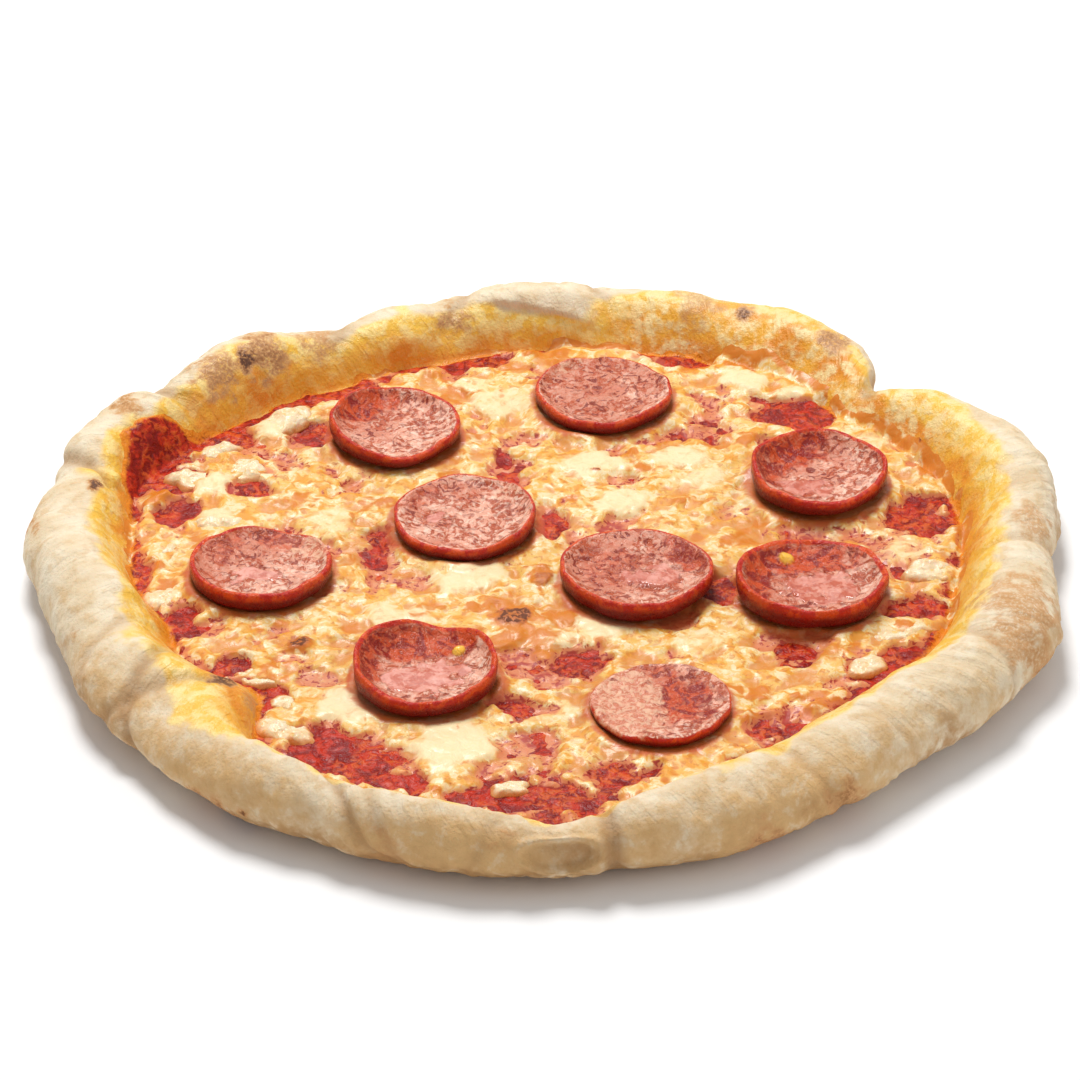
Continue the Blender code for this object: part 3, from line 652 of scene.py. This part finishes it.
class Paint:
    """A small helper that lays out one Principled material."""

    def __init__(self, name):
        self.material = bpy.data.materials.new(name)
        self.material.use_nodes = True
        self.tree = self.material.node_tree
        self.shader = self.tree.nodes["Principled BSDF"]
        self.place = self.add("ShaderNodeTexCoord", "Object")

    def put(self, socket, content):
        if isinstance(content, bpy.types.NodeSocket):
            self.tree.links.new(content, socket)
        elif isinstance(content, tuple):
            socket.default_value = (*content, 1.0)
        else:
            socket.default_value = content

    def add(self, kind, output, inputs=None, **settings):
        """A new node with its settings and inputs; the result is the named output."""
        made = self.tree.nodes.new(kind)
        for name, setting in settings.items():
            setattr(made, name, setting)
        for name, content in (inputs or {}).items():
            self.put(made.inputs[name], content)
        return made.outputs[output]

    def number(self, name):
        return self.add("ShaderNodeAttribute", "Fac", attribute_name=name)

    def vector(self, name):
        return self.add("ShaderNodeAttribute", "Vector", attribute_name=name)

    def noise(self, size, detail=3.0, rough=0.55, at=None, twist=0.0):
        """Noise with features of the given size in millimetres."""
        return self.add("ShaderNodeTexNoise", "Fac", {
            "Vector": at or self.place, "Scale": 1.0 / (size * MM),
            "Detail": detail, "Roughness": rough, "Distortion": twist})

    def ramp(self, source, low, high):
        """0 to 1 from low to high, or 1 to 0 where high is the lower of the two."""
        return self.add("ShaderNodeMapRange", "Result", {
            "Value": source, "From Min": min(low, high), "From Max": max(low, high),
            "To Min": float(low > high), "To Max": float(low < high)}, interpolation_type="SMOOTHSTEP")

    def math(self, operation, first, second):
        return self.add("ShaderNodeMath", "Value", {0: first, 1: second}, operation=operation)

    def times(self, first, second):
        return self.math("MULTIPLY", first, second)

    def plus(self, first, second):
        return self.math("ADD", first, second)

    def opposite(self, source):
        return self.math("SUBTRACT", 1.0, source)

    def shaken(self, source, noise, amount):
        """A source made uneven by a noise."""
        return self.plus(source, self.times(self.plus(noise, -0.5), amount))

    def broken(self, name, noise, amount, low, high):
        """A ramp over a named number, with its edges broken up by a noise."""
        return self.ramp(self.shaken(self.number(name), noise, amount), low, high)

    def mix(self, share, first, second):
        inputs = {"Factor": share, "A": first, "B": second}
        return self.add("ShaderNodeMix", "Result", inputs, data_type="RGBA")

    def grey(self, share, low, high):
        """A number that runs from low to high with the share."""
        return self.mix(share, (low, low, low), (high, high, high))

    def layers(self, colour, coats):
        """A colour under coats: each has the share that it covers, its strength and its colour."""
        for share, strength, coat in coats:
            colour = self.mix(self.times(share, strength), colour, coat)
        return colour

    def set(self, **inputs):
        for name, content in inputs.items():
            self.put(self.shader.inputs[name.replace("_", " ")], content)

    def bump(self, height, depth, strength):
        """Relief of the given depth in millimetres."""
        self.set(Normal=self.add("ShaderNodeBump", "Normal", {"Strength": strength, "Distance": depth * MM,
                                                              "Height": height}))


def oiled_dough(paint, flecks, broad):
    """Dough stained by the toppings' oil: yellow higher up, orange below, with crumbs of cheese."""
    yellow = paint.mix(paint.ramp(flecks, 0.42, 0.58), (0.90, 0.53, 0.060), (0.93, 0.69, 0.25))
    orange = paint.mix(paint.ramp(broad, 0.40, 0.60), (0.78, 0.27, 0.016), (0.87, 0.42, 0.030))
    orange = paint.layers(orange, [(paint.ramp(flecks, 0.50, 0.62), 0.5, (0.90, 0.57, 0.14))])
    crumbs = paint.times(paint.number("cheesy"), paint.ramp(flecks, 0.40, 0.64))
    return paint.layers(yellow, [
        (paint.number("deep"), 1.0, orange),
        (crumbs, 0.9, (0.92, 0.71, 0.34)),
    ])


def crust_material():
    paint = Paint("floured_baked_dough")
    fine = paint.noise(1.0, 4.0, 0.6)
    flecks = paint.noise(4.5, 4.0, 0.62)
    broad = paint.noise(13.0, 3.0)
    lines = paint.noise(3.6, 2.0, 0.5, at=paint.vector("grain"), twist=0.2)
    furrows = paint.ramp(paint.math("ABSOLUTE", paint.plus(lines, -0.5), 0.0), 0.0, 0.22)
    flour = paint.mix(paint.ramp(broad, 0.40, 0.62), (0.76, 0.60, 0.39), (0.83, 0.71, 0.52))
    strand = paint.mix(paint.ramp(flecks, 0.4, 0.6), (0.90, 0.50, 0.05), (0.94, 0.70, 0.20))
    stain = paint.broken("stain", flecks, 1.1, 0.15, 0.85)
    toast = paint.times(paint.number("toast"), paint.ramp(fine, 0.10, 0.62))
    dough = paint.layers(flour, [
        (paint.broken("tan", flecks, 0.9, 0.05, 0.95), 1.0, (0.69, 0.42, 0.175)),
        (paint.ramp(flecks, 0.50, 0.66), 0.35, (0.60, 0.36, 0.14)),
        (paint.ramp(flecks, 0.46, 0.34), 0.25, (0.86, 0.75, 0.56)),
        # Painted shade: a faint darkening along the furrows of the fine wrinkles.
        (paint.opposite(furrows), 0.10, (0.58, 0.40, 0.20)),
        # Browner baked dough and painted shade low on the rim's outer side.
        (paint.times(paint.number("low"), paint.ramp(flecks, 0.25, 0.65)), 0.85, (0.44, 0.22, 0.075)),
        (stain, 1.0, oiled_dough(paint, flecks, broad)),
        (paint.number("strand"), 1.0, strand),
        (paint.ramp(toast, 0.03, 0.40), 1.0, (0.60, 0.31, 0.12)),
        (paint.ramp(toast, 0.30, 0.62), 1.0, (0.36, 0.15, 0.045)),
        (paint.ramp(toast, 0.50, 0.80), 1.0, (0.115, 0.038, 0.014)),
        # Painted shade in the creases and in the front lip's hollow.
        (paint.number("crease_shade"), 0.6, (0.38, 0.19, 0.07)),
    ])
    paint.set(Base_Color=dough, Roughness=paint.grey(stain, 0.85, 0.38))
    paint.set(Subsurface_Weight=0.05, Subsurface_Scale=0.003)
    relief = paint.plus(paint.times(furrows, 0.26), paint.times(flecks, 0.9))
    paint.bump(paint.plus(paint.times(fine, 0.5), relief), 0.8, 0.9)
    return paint.material


def cheese_material():
    paint = Paint("melted_cheese_look")
    fine = paint.noise(0.8, 3.0, 0.6)
    grit = paint.noise(1.9, 2.0, 0.6, twist=0.7)
    small = paint.noise(4.4, 2.5, 0.50, twist=0.8)
    middle = paint.noise(8.0, 3.0, 0.55, twist=1.0)
    broad = paint.noise(15.0, 3.0)
    crusty = paint.opposite(paint.times(paint.number("pale"), 0.85))
    grain = paint.times(paint.ramp(grit, 0.54, 0.42), crusty)
    golden = paint.times(paint.ramp(small, 0.48, 0.58), paint.ramp(middle, 0.40, 0.54))
    browned = paint.times(paint.ramp(grit, 0.52, 0.61), paint.ramp(small, 0.46, 0.56))
    sheer = paint.shaken(paint.opposite(paint.number("thick")), small, 1.3)
    strokes = paint.times(paint.ramp(sheer, 0.25, 0.45), paint.ramp(grit, 0.53, 0.63))
    scorch = paint.times(paint.number("scorch"), paint.shaken(1.0, grit, 3.5))
    burnt = paint.ramp(scorch, 0.60, 1.05)
    cream = paint.mix(paint.ramp(broad, 0.42, 0.58), (0.81, 0.48, 0.11), (0.86, 0.63, 0.26))
    colour = paint.layers(cream, [
        (paint.ramp(small, 0.50, 0.42), 0.7, (0.88, 0.74, 0.48)),
        (grain, 0.7, (0.80, 0.44, 0.085)),
        (paint.broken("pale", small, 1.6, 0.10, 1.05), 1.0, (0.88, 0.70, 0.40)),
        (paint.times(golden, crusty), 1.0, (0.76, 0.32, 0.028)),
        (paint.times(browned, crusty), 0.6, (0.56, 0.17, 0.022)),
        (paint.broken("high", small, 1.3, 0.50, 0.12), 0.8, (0.66, 0.23, 0.04)),
        (paint.broken("gold", small, 2.0, 0.25, 0.80), 1.0, (0.66, 0.20, 0.012)),
        (paint.ramp(sheer, 0.18, 0.62), 1.0, (0.68, 0.22, 0.09)),
        (strokes, 1.0, (0.38, 0.035, 0.018)),
        (paint.ramp(sheer, 0.70, 0.92), 1.0, (0.42, 0.042, 0.022)),
        # Oil stain round the slices, partly painted shade where they meet the cheese.
        (paint.broken("oil", middle, 1.4, 0.30, 0.90), 0.8, (0.54, 0.085, 0.022)),
        (paint.ramp(scorch, 0.05, 0.55), 1.0, (0.50, 0.13, 0.018)),
        (burnt, 1.0, (0.15, 0.042, 0.015)),
    ])
    rough = paint.grey(paint.ramp(small, 0.4, 0.6), 0.32, 0.52)
    paint.set(Base_Color=colour, Roughness=paint.mix(burnt, rough, (0.8, 0.8, 0.8)))
    paint.set(Subsurface_Weight=0.08, Subsurface_Scale=0.003, Specular_IOR_Level=0.40)
    relief = paint.plus(paint.times(grit, 0.16), paint.times(fine, 0.05))
    paint.bump(paint.plus(small, relief), 0.5, 0.85)
    return paint.material


def mozzarella_material():
    paint = Paint("mozzarella_look")
    small = paint.noise(1.8, 3.0, 0.55, twist=0.5)
    middle = paint.noise(4.5, 3.0, 0.6, twist=0.5)
    cream = paint.mix(paint.ramp(middle, 0.35, 0.65), (0.84, 0.62, 0.34), (0.88, 0.74, 0.51))
    colour = paint.layers(cream, [
        (paint.ramp(small, 0.56, 0.68), 0.7, (0.82, 0.48, 0.10)),
        (paint.broken("edge", middle, 1.2, 0.45, 1.0), 1.0, (0.70, 0.28, 0.08)),
    ])
    paint.set(Base_Color=colour, Roughness=paint.grey(middle, 0.24, 0.42))
    paint.set(Subsurface_Weight=0.15, Subsurface_Scale=0.003)
    paint.bump(paint.plus(small, middle), 0.5, 0.8)
    return paint.material


def sauce_material():
    paint = Paint("tomato_sauce_look")
    small = paint.noise(2.2, 3.0, 0.55, twist=0.8)
    middle = paint.noise(5.5, 3.0, 0.55, twist=1.2)
    broad = paint.noise(11.0, 2.0)
    bright = paint.times(paint.ramp(small, 0.44, 0.62), paint.ramp(broad, 0.40, 0.58))
    red = paint.mix(paint.ramp(middle, 0.40, 0.60), (0.24, 0.004, 0.002), (0.52, 0.026, 0.006))
    colour = paint.layers(red, [
        (bright, 0.7, (0.72, 0.13, 0.02)),
        (paint.ramp(small, 0.46, 0.34), 0.6, (0.16, 0.005, 0.004)),
        (paint.broken("edge", small, 1.3, 0.15, 0.85), 1.0, (0.76, 0.24, 0.014)),
    ])
    paint.set(Base_Color=colour, Roughness=paint.grey(small, 0.24, 0.50))
    paint.set(Subsurface_Weight=0.05, Subsurface_Scale=0.002, Specular_IOR_Level=0.22)
    paint.bump(paint.plus(small, paint.times(middle, 0.8)), 0.9, 0.9)
    return paint.material


def cut_meat(paint, fine, small, middle):
    """The cut face of a slice: pink meat with pale fat, dark slits, glazed patches that are partly painted
    shade on the cups' back inner walls, and pools of oil.
    """
    broad = paint.noise(11.0, 2.0)
    slit = paint.noise(4.2, 3.0, 0.55, twist=1.8)
    # Coarse dark specks, stronger towards each slice's back-left as painted shade.
    coarse = paint.broken("specks_and_shade", broad, 2.5, 0.10, 0.70)
    slits = paint.times(paint.ramp(slit, 0.455, 0.400), paint.plus(paint.times(coarse, 0.50), 0.50))
    pink = paint.mix(paint.ramp(middle, 0.44, 0.52), (0.50, 0.105, 0.042), (0.86, 0.42, 0.290))
    shaded_glaze = paint.mix(paint.ramp(middle, 0.44, 0.56), (0.28, 0.010, 0.004), (0.60, 0.070, 0.010))
    shaded_glaze = paint.layers(shaded_glaze, [(paint.ramp(small, 0.54, 0.62), 0.5, (0.74, 0.24, 0.12))])
    oil = paint.mix(paint.ramp(middle, 0.40, 0.60), (0.58, 0.15, 0.095), (0.71, 0.28, 0.22))
    return paint.layers(pink, [
        (paint.ramp(small, 0.51, 0.60), 0.80, (0.96, 0.68, 0.53)),
        (coarse, 0.55, (0.52, 0.090, 0.028)),
        (slits, 0.95, (0.25, 0.020, 0.005)),
        (paint.ramp(fine, 0.36, 0.30), 0.35, (0.22, 0.030, 0.012)),
        # Dark glazed meat, partly painted shade on the cups' back inner walls.
        (paint.broken("dark", small, 2.0, 0.20, 0.85), 1.0, shaded_glaze),
        (paint.number("pool"), 0.70, oil),
    ])


def pepperoni_material():
    paint = Paint("pepperoni_look")
    fine = paint.noise(0.8, 2.0, 0.6)
    small = paint.noise(2.0, 4.0, 0.62, twist=0.9)
    middle = paint.noise(5.5, 3.0, 0.58, twist=1.2)
    pool = paint.number("pool")
    bead = paint.number("bead")
    side = paint.mix(paint.ramp(middle, 0.44, 0.58), (0.54, 0.018, 0.007), (0.72, 0.080, 0.010))
    # Painted shade: the outer wall darkens to near black towards the slice's underside.
    side = paint.mix(paint.ramp(paint.number("wall"), 0.15, 0.95), side, (0.18, 0.003, 0.003))
    cheesy = paint.mix(paint.ramp(small, 0.42, 0.58), (0.70, 0.23, 0.13), (0.86, 0.50, 0.32))
    colour = paint.layers(cut_meat(paint, fine, small, middle), [
        (paint.broken("skin", middle, 1.6, 0.30, 0.70), 1.0, side),
        (paint.broken("film", small, 1.4, 0.25, 0.85), 0.85, cheesy),
        (bead, 1.0, (0.94, 0.52, 0.06)),
    ])
    dull = paint.grey(paint.ramp(small, 0.38, 0.62), 0.18, 0.44)
    rough = paint.mix(paint.math("MAXIMUM", pool, bead), dull, (0.07, 0.07, 0.07))
    paint.set(Base_Color=colour, Roughness=rough)
    paint.set(Subsurface_Weight=0.05, Subsurface_Scale=0.002, Specular_IOR_Level=0.38)
    bare = paint.opposite(paint.times(pool, 0.9))
    paint.bump(paint.times(paint.plus(small, paint.times(fine, 0.3)), bare), 0.9, 0.9)
    return paint.material


# Toppings

def height_finder(crust):
    """A function that gives the height of the crust's upper side at each place."""
    corners = [vertex.co for vertex in crust.data.vertices]
    tree = BVHTree.FromPolygons(corners, [tuple(polygon.vertices) for polygon in crust.data.polygons])
    down = Vector((0.0, 0.0, -1.0))

    def heights(x, y):
        starts = [Vector((px * MM, py * MM, 0.06)) for px, py in zip(x.ravel(), y.ravel())]
        found = [tree.ray_cast(start, down)[0] for start in starts]
        return np.array([hit.z / MM if hit else 0.0 for hit in found]).reshape(x.shape)

    return heights


def patch_field(x, y, patches, ragged):
    """1 inside the lumpy ellipses, falling to 0 outside them."""
    field = np.zeros_like(x)
    for patch in patches:
        turn = math.radians(patch.turn)
        dx, dy = x - patch.x, y - patch.y
        along = (dx * math.cos(turn) + dy * math.sin(turn)) / patch.long
        across = (dy * math.cos(turn) - dx * math.sin(turn)) / patch.short
        field = np.maximum(field, patch.strength * smooth(1.35, 0.65, np.hypot(along, across) + ragged))
    return field


def mark_field(x, y, marks, ragged):
    patches = []
    for mark in marks:
        place = cast(mark.px, mark.py, MARK_HEIGHT)
        long = mark.wide / ACROSS
        short = mark.high / (ACROSS * math.sin(ELEVATION))
        patches.append(Patch(place.x, place.y, long, short, mark.turn, mark.strength))
    return patch_field(x, y, patches, ragged)


def slice_gap(x, y):
    """Distance outside the nearest slice of pepperoni, negative under it."""
    gap = np.full_like(x, 1e3)
    for piece in PEPPERONI:
        gap = np.minimum(gap, np.hypot(x - piece.x, y - piece.y) - piece.radius)
    return gap


def topping_grid():
    count = int(2 * GRID_REACH / GRID) + 1
    line = (np.arange(count) - (count - 1) / 2.0) * GRID
    return np.meshgrid(line, line, indexing="xy")


def grid_object(name, x, y, z, keep, attributes):
    """A height field over the squares of the grid that have a kept corner."""
    whole = keep[:-1, :-1] | keep[1:, :-1] | keep[:-1, 1:] | keep[1:, 1:]
    used = np.zeros_like(keep)
    used[:-1, :-1] |= whole
    used[1:, :-1] |= whole
    used[:-1, 1:] |= whole
    used[1:, 1:] |= whole
    index = np.cumsum(used.ravel()).reshape(used.shape) - 1
    low_row, low_column = np.nonzero(whole)
    faces = np.stack([index[low_row, low_column], index[low_row, low_column + 1],
                      index[low_row + 1, low_column + 1], index[low_row + 1, low_column]], axis=1)
    points = np.stack([x[used], y[used], z[used]], axis=1)
    flat = {label: values[used] for label, values in attributes.items()}
    uv = 0.5 + points[faces.ravel(), :2] / (2.0 * (GRID_REACH + 2.0))
    return new_mesh_object(name, points, faces.tolist(), flat, uv)


class Ground:
    """The grid under the toppings, with what both layers need at each of its points."""

    def __init__(self, surface):
        self.x, self.y = topping_grid()
        self.share = share_at(self.x, self.y)
        self.angle = np.degrees(np.arctan2(self.y, self.x))
        self.radius = np.hypot(self.x, self.y)
        self.inside = self.share < TOPPED_SHARE
        near = self.share < TOPPED_SHARE + 0.07
        self.dough = np.zeros_like(self.x)
        self.dough[near] = surface(self.x[near], self.y[near])
        self.dough = np.minimum(self.dough, dough_height(self.x, self.y) + WALL_LIMIT)
        self.level = 1.0 - smooth(0.98, 1.22, self.share)
        self.gap = slice_gap(self.x, self.y)
        self.free = smooth(-1.0, 5.0, self.gap)
        self.ragged = 0.42 * self.clouds(6.5, 3, 101)
        self.past = self.radius - reach_radius(SAUCE_END, self.angle) + 1.3 * self.clouds(7.0, 3, 181)

    def clouds(self, size, octaves, seed):
        return flat_clouds(self.x, self.y, size, octaves, seed)

    def marks(self, marks, raggedness):
        return mark_field(self.x, self.y, marks, raggedness * self.ragged)


def cheese_layer(ground):
    """The height of the cheese over the grid, and the numbers that colour it."""
    pale = ground.marks(PALE_MARKS, 0.8)
    sheer = ground.marks(SHEER_MARKS, 1.1)
    orange = ground.marks(ORANGE_MARKS, 1.2)
    scorch = ground.marks(SCORCHED_MARKS, 1.1)
    windows = patch_field(ground.x, ground.y, SAUCE_WINDOWS, ground.ragged)
    central = smooth(0.95, 0.75, ground.share)
    thin = np.maximum(smooth(0.15, 1.0, ground.clouds(13.0, 4, 111)) * ground.free, sheer)
    thin = thin * (1.0 - 0.9 * pale) * ground.level
    uneven = (0.8 + 1.4 * ground.level) * ground.clouds(8.0, 3, 121)
    beyond = smooth(-7.0, 2.5, ground.radius - reach_radius(CHEESE_END, ground.angle) + uneven)
    thick = 1.0 - (1.5 - 0.60 * central) * windows * (1.0 - 0.4 * pale) - 0.75 * thin - 1.9 * beyond
    strands = 0.5 - np.abs(ground.clouds(9.0, 3, 131))
    bubbles = ground.clouds(3.2, 3, 141)
    body = np.clip(thick, 0.0, 1.0)
    bare = 1.0 - smooth(0.5, -3.5, ground.past)
    bumpy = 1.0 - 0.7 * pale
    relief = 1.1 * strands * bumpy + 0.16 * bubbles * bumpy + 0.8 * pale + 0.6 * scorch + 0.9 * orange
    relief = relief * body * ground.free * (0.2 + 0.8 * ground.level)
    hug = 0.7 + 1.1 * smooth(-0.4, 0.8, ground.clouds(12.0, 2, 151))
    hug = hug * np.exp(-((ground.gap - 1.0) / 2.6) ** 2)
    browned = 0.8 * smooth(0.40, 0.95, ground.clouds(9.0, 3, 201)) * (1.0 - pale)
    oily = smooth(5.0, 0.0, ground.gap) * smooth(-0.6, 0.5, ground.clouds(9.0, 2, 211))
    return ground.dough + CHEESE_BASE + CHEESE_RISE * thick + relief + hug * body, {
        "thick": np.clip(thick + bare * (1.9 * beyond + 1.0), 0.0, 1.2),
        "pale": pale,
        "high": np.clip(0.5 + 0.9 * strands + 0.5 * pale, 0.0, 1.0),
        "gold": np.maximum(np.maximum(orange, 0.8 * bare * smooth(0.0, 0.5, beyond)), browned),
        # Oil stain round the slices, with a steady band at their edges that is painted contact shade.
        "oil": np.maximum(oily, 0.9 * smooth(3.2, 0.8, ground.gap)),
        "scorch": scorch,
    }


def sauce_height(ground):
    scuffed = 0.34 * ground.clouds(4.5, 3, 161) + 0.20 * ground.clouds(2.2, 2, 171)
    return ground.dough + SAUCE_LIFT + scuffed - 2.6 * smooth(-3.0, 1.6, ground.past)


def make_toppings(surface):
    """The sauce and the cheese: each is cut off a little under whatever covers it."""
    ground = Ground(surface)
    cheese_z, numbers = cheese_layer(ground)
    sauce_z = sauce_height(ground)
    under = np.maximum(ground.dough, sauce_z)
    shown = ground.inside & (cheese_z > under - HIDDEN)
    lowest = np.maximum(cheese_z, under - CUT_OFF)
    cheese = grid_object("cheese_look", ground.x, ground.y, lowest, shown, numbers)
    dress(cheese, cheese_material(), "cheese")
    shown = ground.inside & (sauce_z > ground.dough - HIDDEN) & (sauce_z > cheese_z - HIDDEN)
    lowest = np.maximum(sauce_z, np.maximum(ground.dough, cheese_z) - CUT_OFF)
    edge = smooth(-3.6, -0.4, ground.past)
    sauce = grid_object("sauce_look", ground.x, ground.y, lowest, shown, {"edge": edge})
    dress(sauce, sauce_material(), "sauce")


def slice_rows(piece):
    """The levels of a slice's mesh: share of the radius, of the thickness and of the wall's rise."""
    profile = np.array(SLICE_PROFILE)
    drop = np.diff(profile[:, 1]) * SLICE_THICK + np.diff(profile[:, 2]) * piece.rise
    steps = np.concatenate([[0.0], np.cumsum(np.hypot(np.diff(profile[:, 0]) * piece.radius, drop))])
    places = np.linspace(0.0, steps[-1], SLICE_LEVELS)
    rows = [np.interp(places, steps, profile[:, column]) for column in range(3)]
    kernel = np.array([1.0, 2.0, 3.0, 2.0, 1.0]) / 9.0
    for values in rows:
        values[2:-2] = np.convolve(values, kernel, mode="valid")
    lip = steps[np.argmax(profile[:, 0])]
    return [values[:, None] for values in (*rows, (places < lip).astype(float))]


def slice_patches(number, x, y, table, ragged):
    return patch_field(x, y, [Patch(*row[1:]) for row in table if row[0] == number], ragged)


def edge_noise(index, around, size, octaves, seed):
    """Noise along the edge of a slice, its own for each slice."""
    ring_z = np.full_like(around, 3.3 * index)
    return clouds(np.cos(around) * 6.0, np.sin(around) * 6.0, ring_z, size, octaves, seed + index)


def slice_wall(index, piece, around):
    """How high the wall of a slice stands at each angle, with its fold."""
    towards = np.cos(around - math.radians(piece.side))
    fold_away = (around - math.radians(piece.fold_side) + math.pi) % (2.0 * math.pi) - math.pi
    wall = piece.rise * (1.0 + piece.lopsided * towards + BOAT * np.cos(2.0 * around))
    wall -= piece.fold * np.exp(-(fold_away / 0.35) ** 2)
    return np.maximum(0.0, wall + 0.80 * edge_noise(index, around, 3.6, 2, 300))


def make_slice(index, piece, material):
    """One cupped slice: its lip, wall, pitted face and any pool of oil."""
    reach, thick, rise, top = slice_rows(piece)
    around = np.arange(SLICE_STEPS)[None, :] * 2.0 * math.pi / SLICE_STEPS
    radius = piece.radius * (1.0 + 0.045 * edge_noise(index, around, 5.0, 3, 320)) * reach
    dx, dy = radius * np.cos(around), radius * np.sin(around)
    x, y = piece.x + dx, piece.y + dy
    middle = SLICE_REST + 0.5 * piece.tilt
    lean = -piece.tilt * 0.5 * reach * np.cos(around - math.radians(piece.side))
    z = middle + lean + thick * SLICE_THICK + rise * slice_wall(index, piece, around)
    whole = np.ones_like(z)
    face = top * smooth(0.97, 0.90, reach) * whole
    ragged = 0.35 * flat_clouds(x, y, 4.0, 3, 330 + index)
    pool = slice_patches(index + 1, dx, dy, POOLS, ragged) * face
    pits = 0.30 * flat_clouds(x, y, 2.4, 3, 340 + index) + 0.45 * flat_clouds(x, y, 8.0, 2, 360 + index)
    z = z + face * pits
    level = middle + SLICE_THICK + 0.55 - 2.0 * smooth(0.55, 0.15, pool)
    level = level + 0.13 * flat_clouds(x, y, 6.0, 2, 380 + index)
    wet = smooth(-0.10, 0.06, level - z) * face
    z = np.where(face > 0.5, np.maximum(z, level), z)
    bead = np.zeros_like(z)
    for owner, bead_x, bead_y, size in BEADS:
        if owner == index + 1:
            away = np.hypot(dx - bead_x, dy - bead_y) / size
            bead = face * smooth(1.0, 0.8, away)
            z = z + face * 1.4 * np.sqrt(np.clip(1.0 - away ** 2, 0.0, 1.0))
    skin = smooth(piece.skin - 0.03, piece.skin + 0.03, reach) * top + (1.0 - top)
    # The specks differ from slice to slice; their growth towards each slice's back-left is painted shade on
    # the cup's inner wall.
    specks_and_shade = piece.speckled + 0.4 * np.cos(around - math.radians(140.0)) * reach
    made = polar_object(f"pepperoni_look_{index + 1}", np.stack([x, y, z], axis=2), {
        "skin": skin * whole,
        # Painted shade: the outer wall darkens towards the slice's underside.
        "wall": smooth(0.98, 0.2, thick) * whole,
        "pool": wet,
        # Dark glazed meat, partly painted shade on the back inner wall of the cup.
        "dark": slice_patches(index + 1, dx, dy, DARK_MEAT_AND_SHADE, ragged) * face,
        "bead": bead,
        "film": slice_patches(index + 1, dx, dy, FILMS, ragged) * smooth(0.3, 0.7, thick),
        "specks_and_shade": specks_and_shade * face,
    })
    dress(made, material, f"pepperoni_{index + 1}")


def make_lump(index, lump, material):
    """One soft, uneven lump of mozzarella in the sauce."""
    around = np.arange(LUMP_STEPS)[None, :] * 2.0 * math.pi / LUMP_STEPS
    inner = np.linspace(0.0, 1.0, LUMP_LEVELS)
    reach = np.concatenate([inner, [0.7, 0.0]])[:, None]
    up = np.concatenate([(1.0 - inner ** 4.5) ** 0.9, [-0.4, -0.4]])[:, None]
    edge = np.concatenate([smooth(0.45, 1.0, inner), [1.0, 1.0]])[:, None]
    ring_x, ring_y = np.cos(around), np.sin(around)
    swell = clouds(ring_x * 5.0, ring_y * 5.0, np.full_like(ring_x, 7.7 * index), 4.5, 3, 400 + index)
    size = (1.08 + 0.30 * swell) * reach
    turn = math.radians(lump.turn)
    along, across = lump.long * size * ring_x, lump.short * size * ring_y
    x = lump.x + along * math.cos(turn) - across * math.sin(turn)
    y = lump.y + along * math.sin(turn) + across * math.cos(turn)
    base = dough_height(np.array([lump.x]), np.array([lump.y]))[0] + 1.3
    z = base + up * (0.8 * lump.height + 0.9 * flat_clouds(x, y, 4.5, 3, 420 + index))
    made = polar_object(f"mozzarella_look_{index + 1}", np.stack([x, y, z], axis=2),
                        {"edge": edge * np.ones_like(z)})
    dress(made, material, f"mozzarella_{index + 1}")


# Stage

def make_stage():
    bpy.ops.mesh.primitive_plane_add(size=6.0, location=(0.0, 0.0, -0.0004))
    floor = bpy.context.object
    floor.name = "floor"
    paint = Paint("pale_floor")
    paint.set(Base_Color=(0.90, 0.90, 0.90), Roughness=0.9)
    floor.data.materials.append(paint.material)
    world = bpy.data.worlds.new("studio")
    bpy.context.scene.world = world
    world.use_nodes = True
    world.node_tree.nodes["Background"].inputs["Color"].default_value = (1.0, 1.0, 1.0, 1.0)
    world.node_tree.nodes["Background"].inputs["Strength"].default_value = 0.50
    add_light("key", (-0.20, 0.66, 1.48), 0.6, 22.0)
    add_light("back_window", (-0.12, 1.45, 0.90), 0.5, 1.1)
    add_light("side_fill", (1.4, -0.5, 0.8), 0.9, 3.0)
    bpy.context.scene.view_settings.view_transform = "Standard"


def add_light(name, place, size, power):
    lamp = bpy.data.lights.new(name, "AREA")
    lamp.shape = "DISK"
    lamp.size = size
    lamp.energy = power
    made = bpy.data.objects.new(name, lamp)
    made.location = place
    made.rotation_euler = (-Vector(place)).to_track_quat("-Z", "Y").to_euler()
    bpy.context.scene.collection.objects.link(made)


def make_camera():
    camera = bpy.data.cameras.new("camera")
    camera.sensor_width = SENSOR
    camera.lens = FOCAL_PIXELS / PHOTO_SIDE * SENSOR
    camera.clip_end = 20.0
    made = bpy.data.objects.new("camera", camera)
    made.location = CAMERA_PLACE * MM
    made.rotation_euler = (-CAMERA_BACK).to_track_quat("-Z", "Y").to_euler()
    bpy.context.scene.collection.objects.link(made)
    bpy.context.scene.camera = made


def main():
    make_camera()
    make_stage()
    crust = make_crust()
    make_toppings(height_finder(crust))
    meat = pepperoni_material()
    for index, piece in enumerate(PEPPERONI):
        make_slice(index, piece, meat)
    curd = mozzarella_material()
    for index, lump in enumerate(MOZZARELLA):
        make_lump(index, lump, curd)


main()
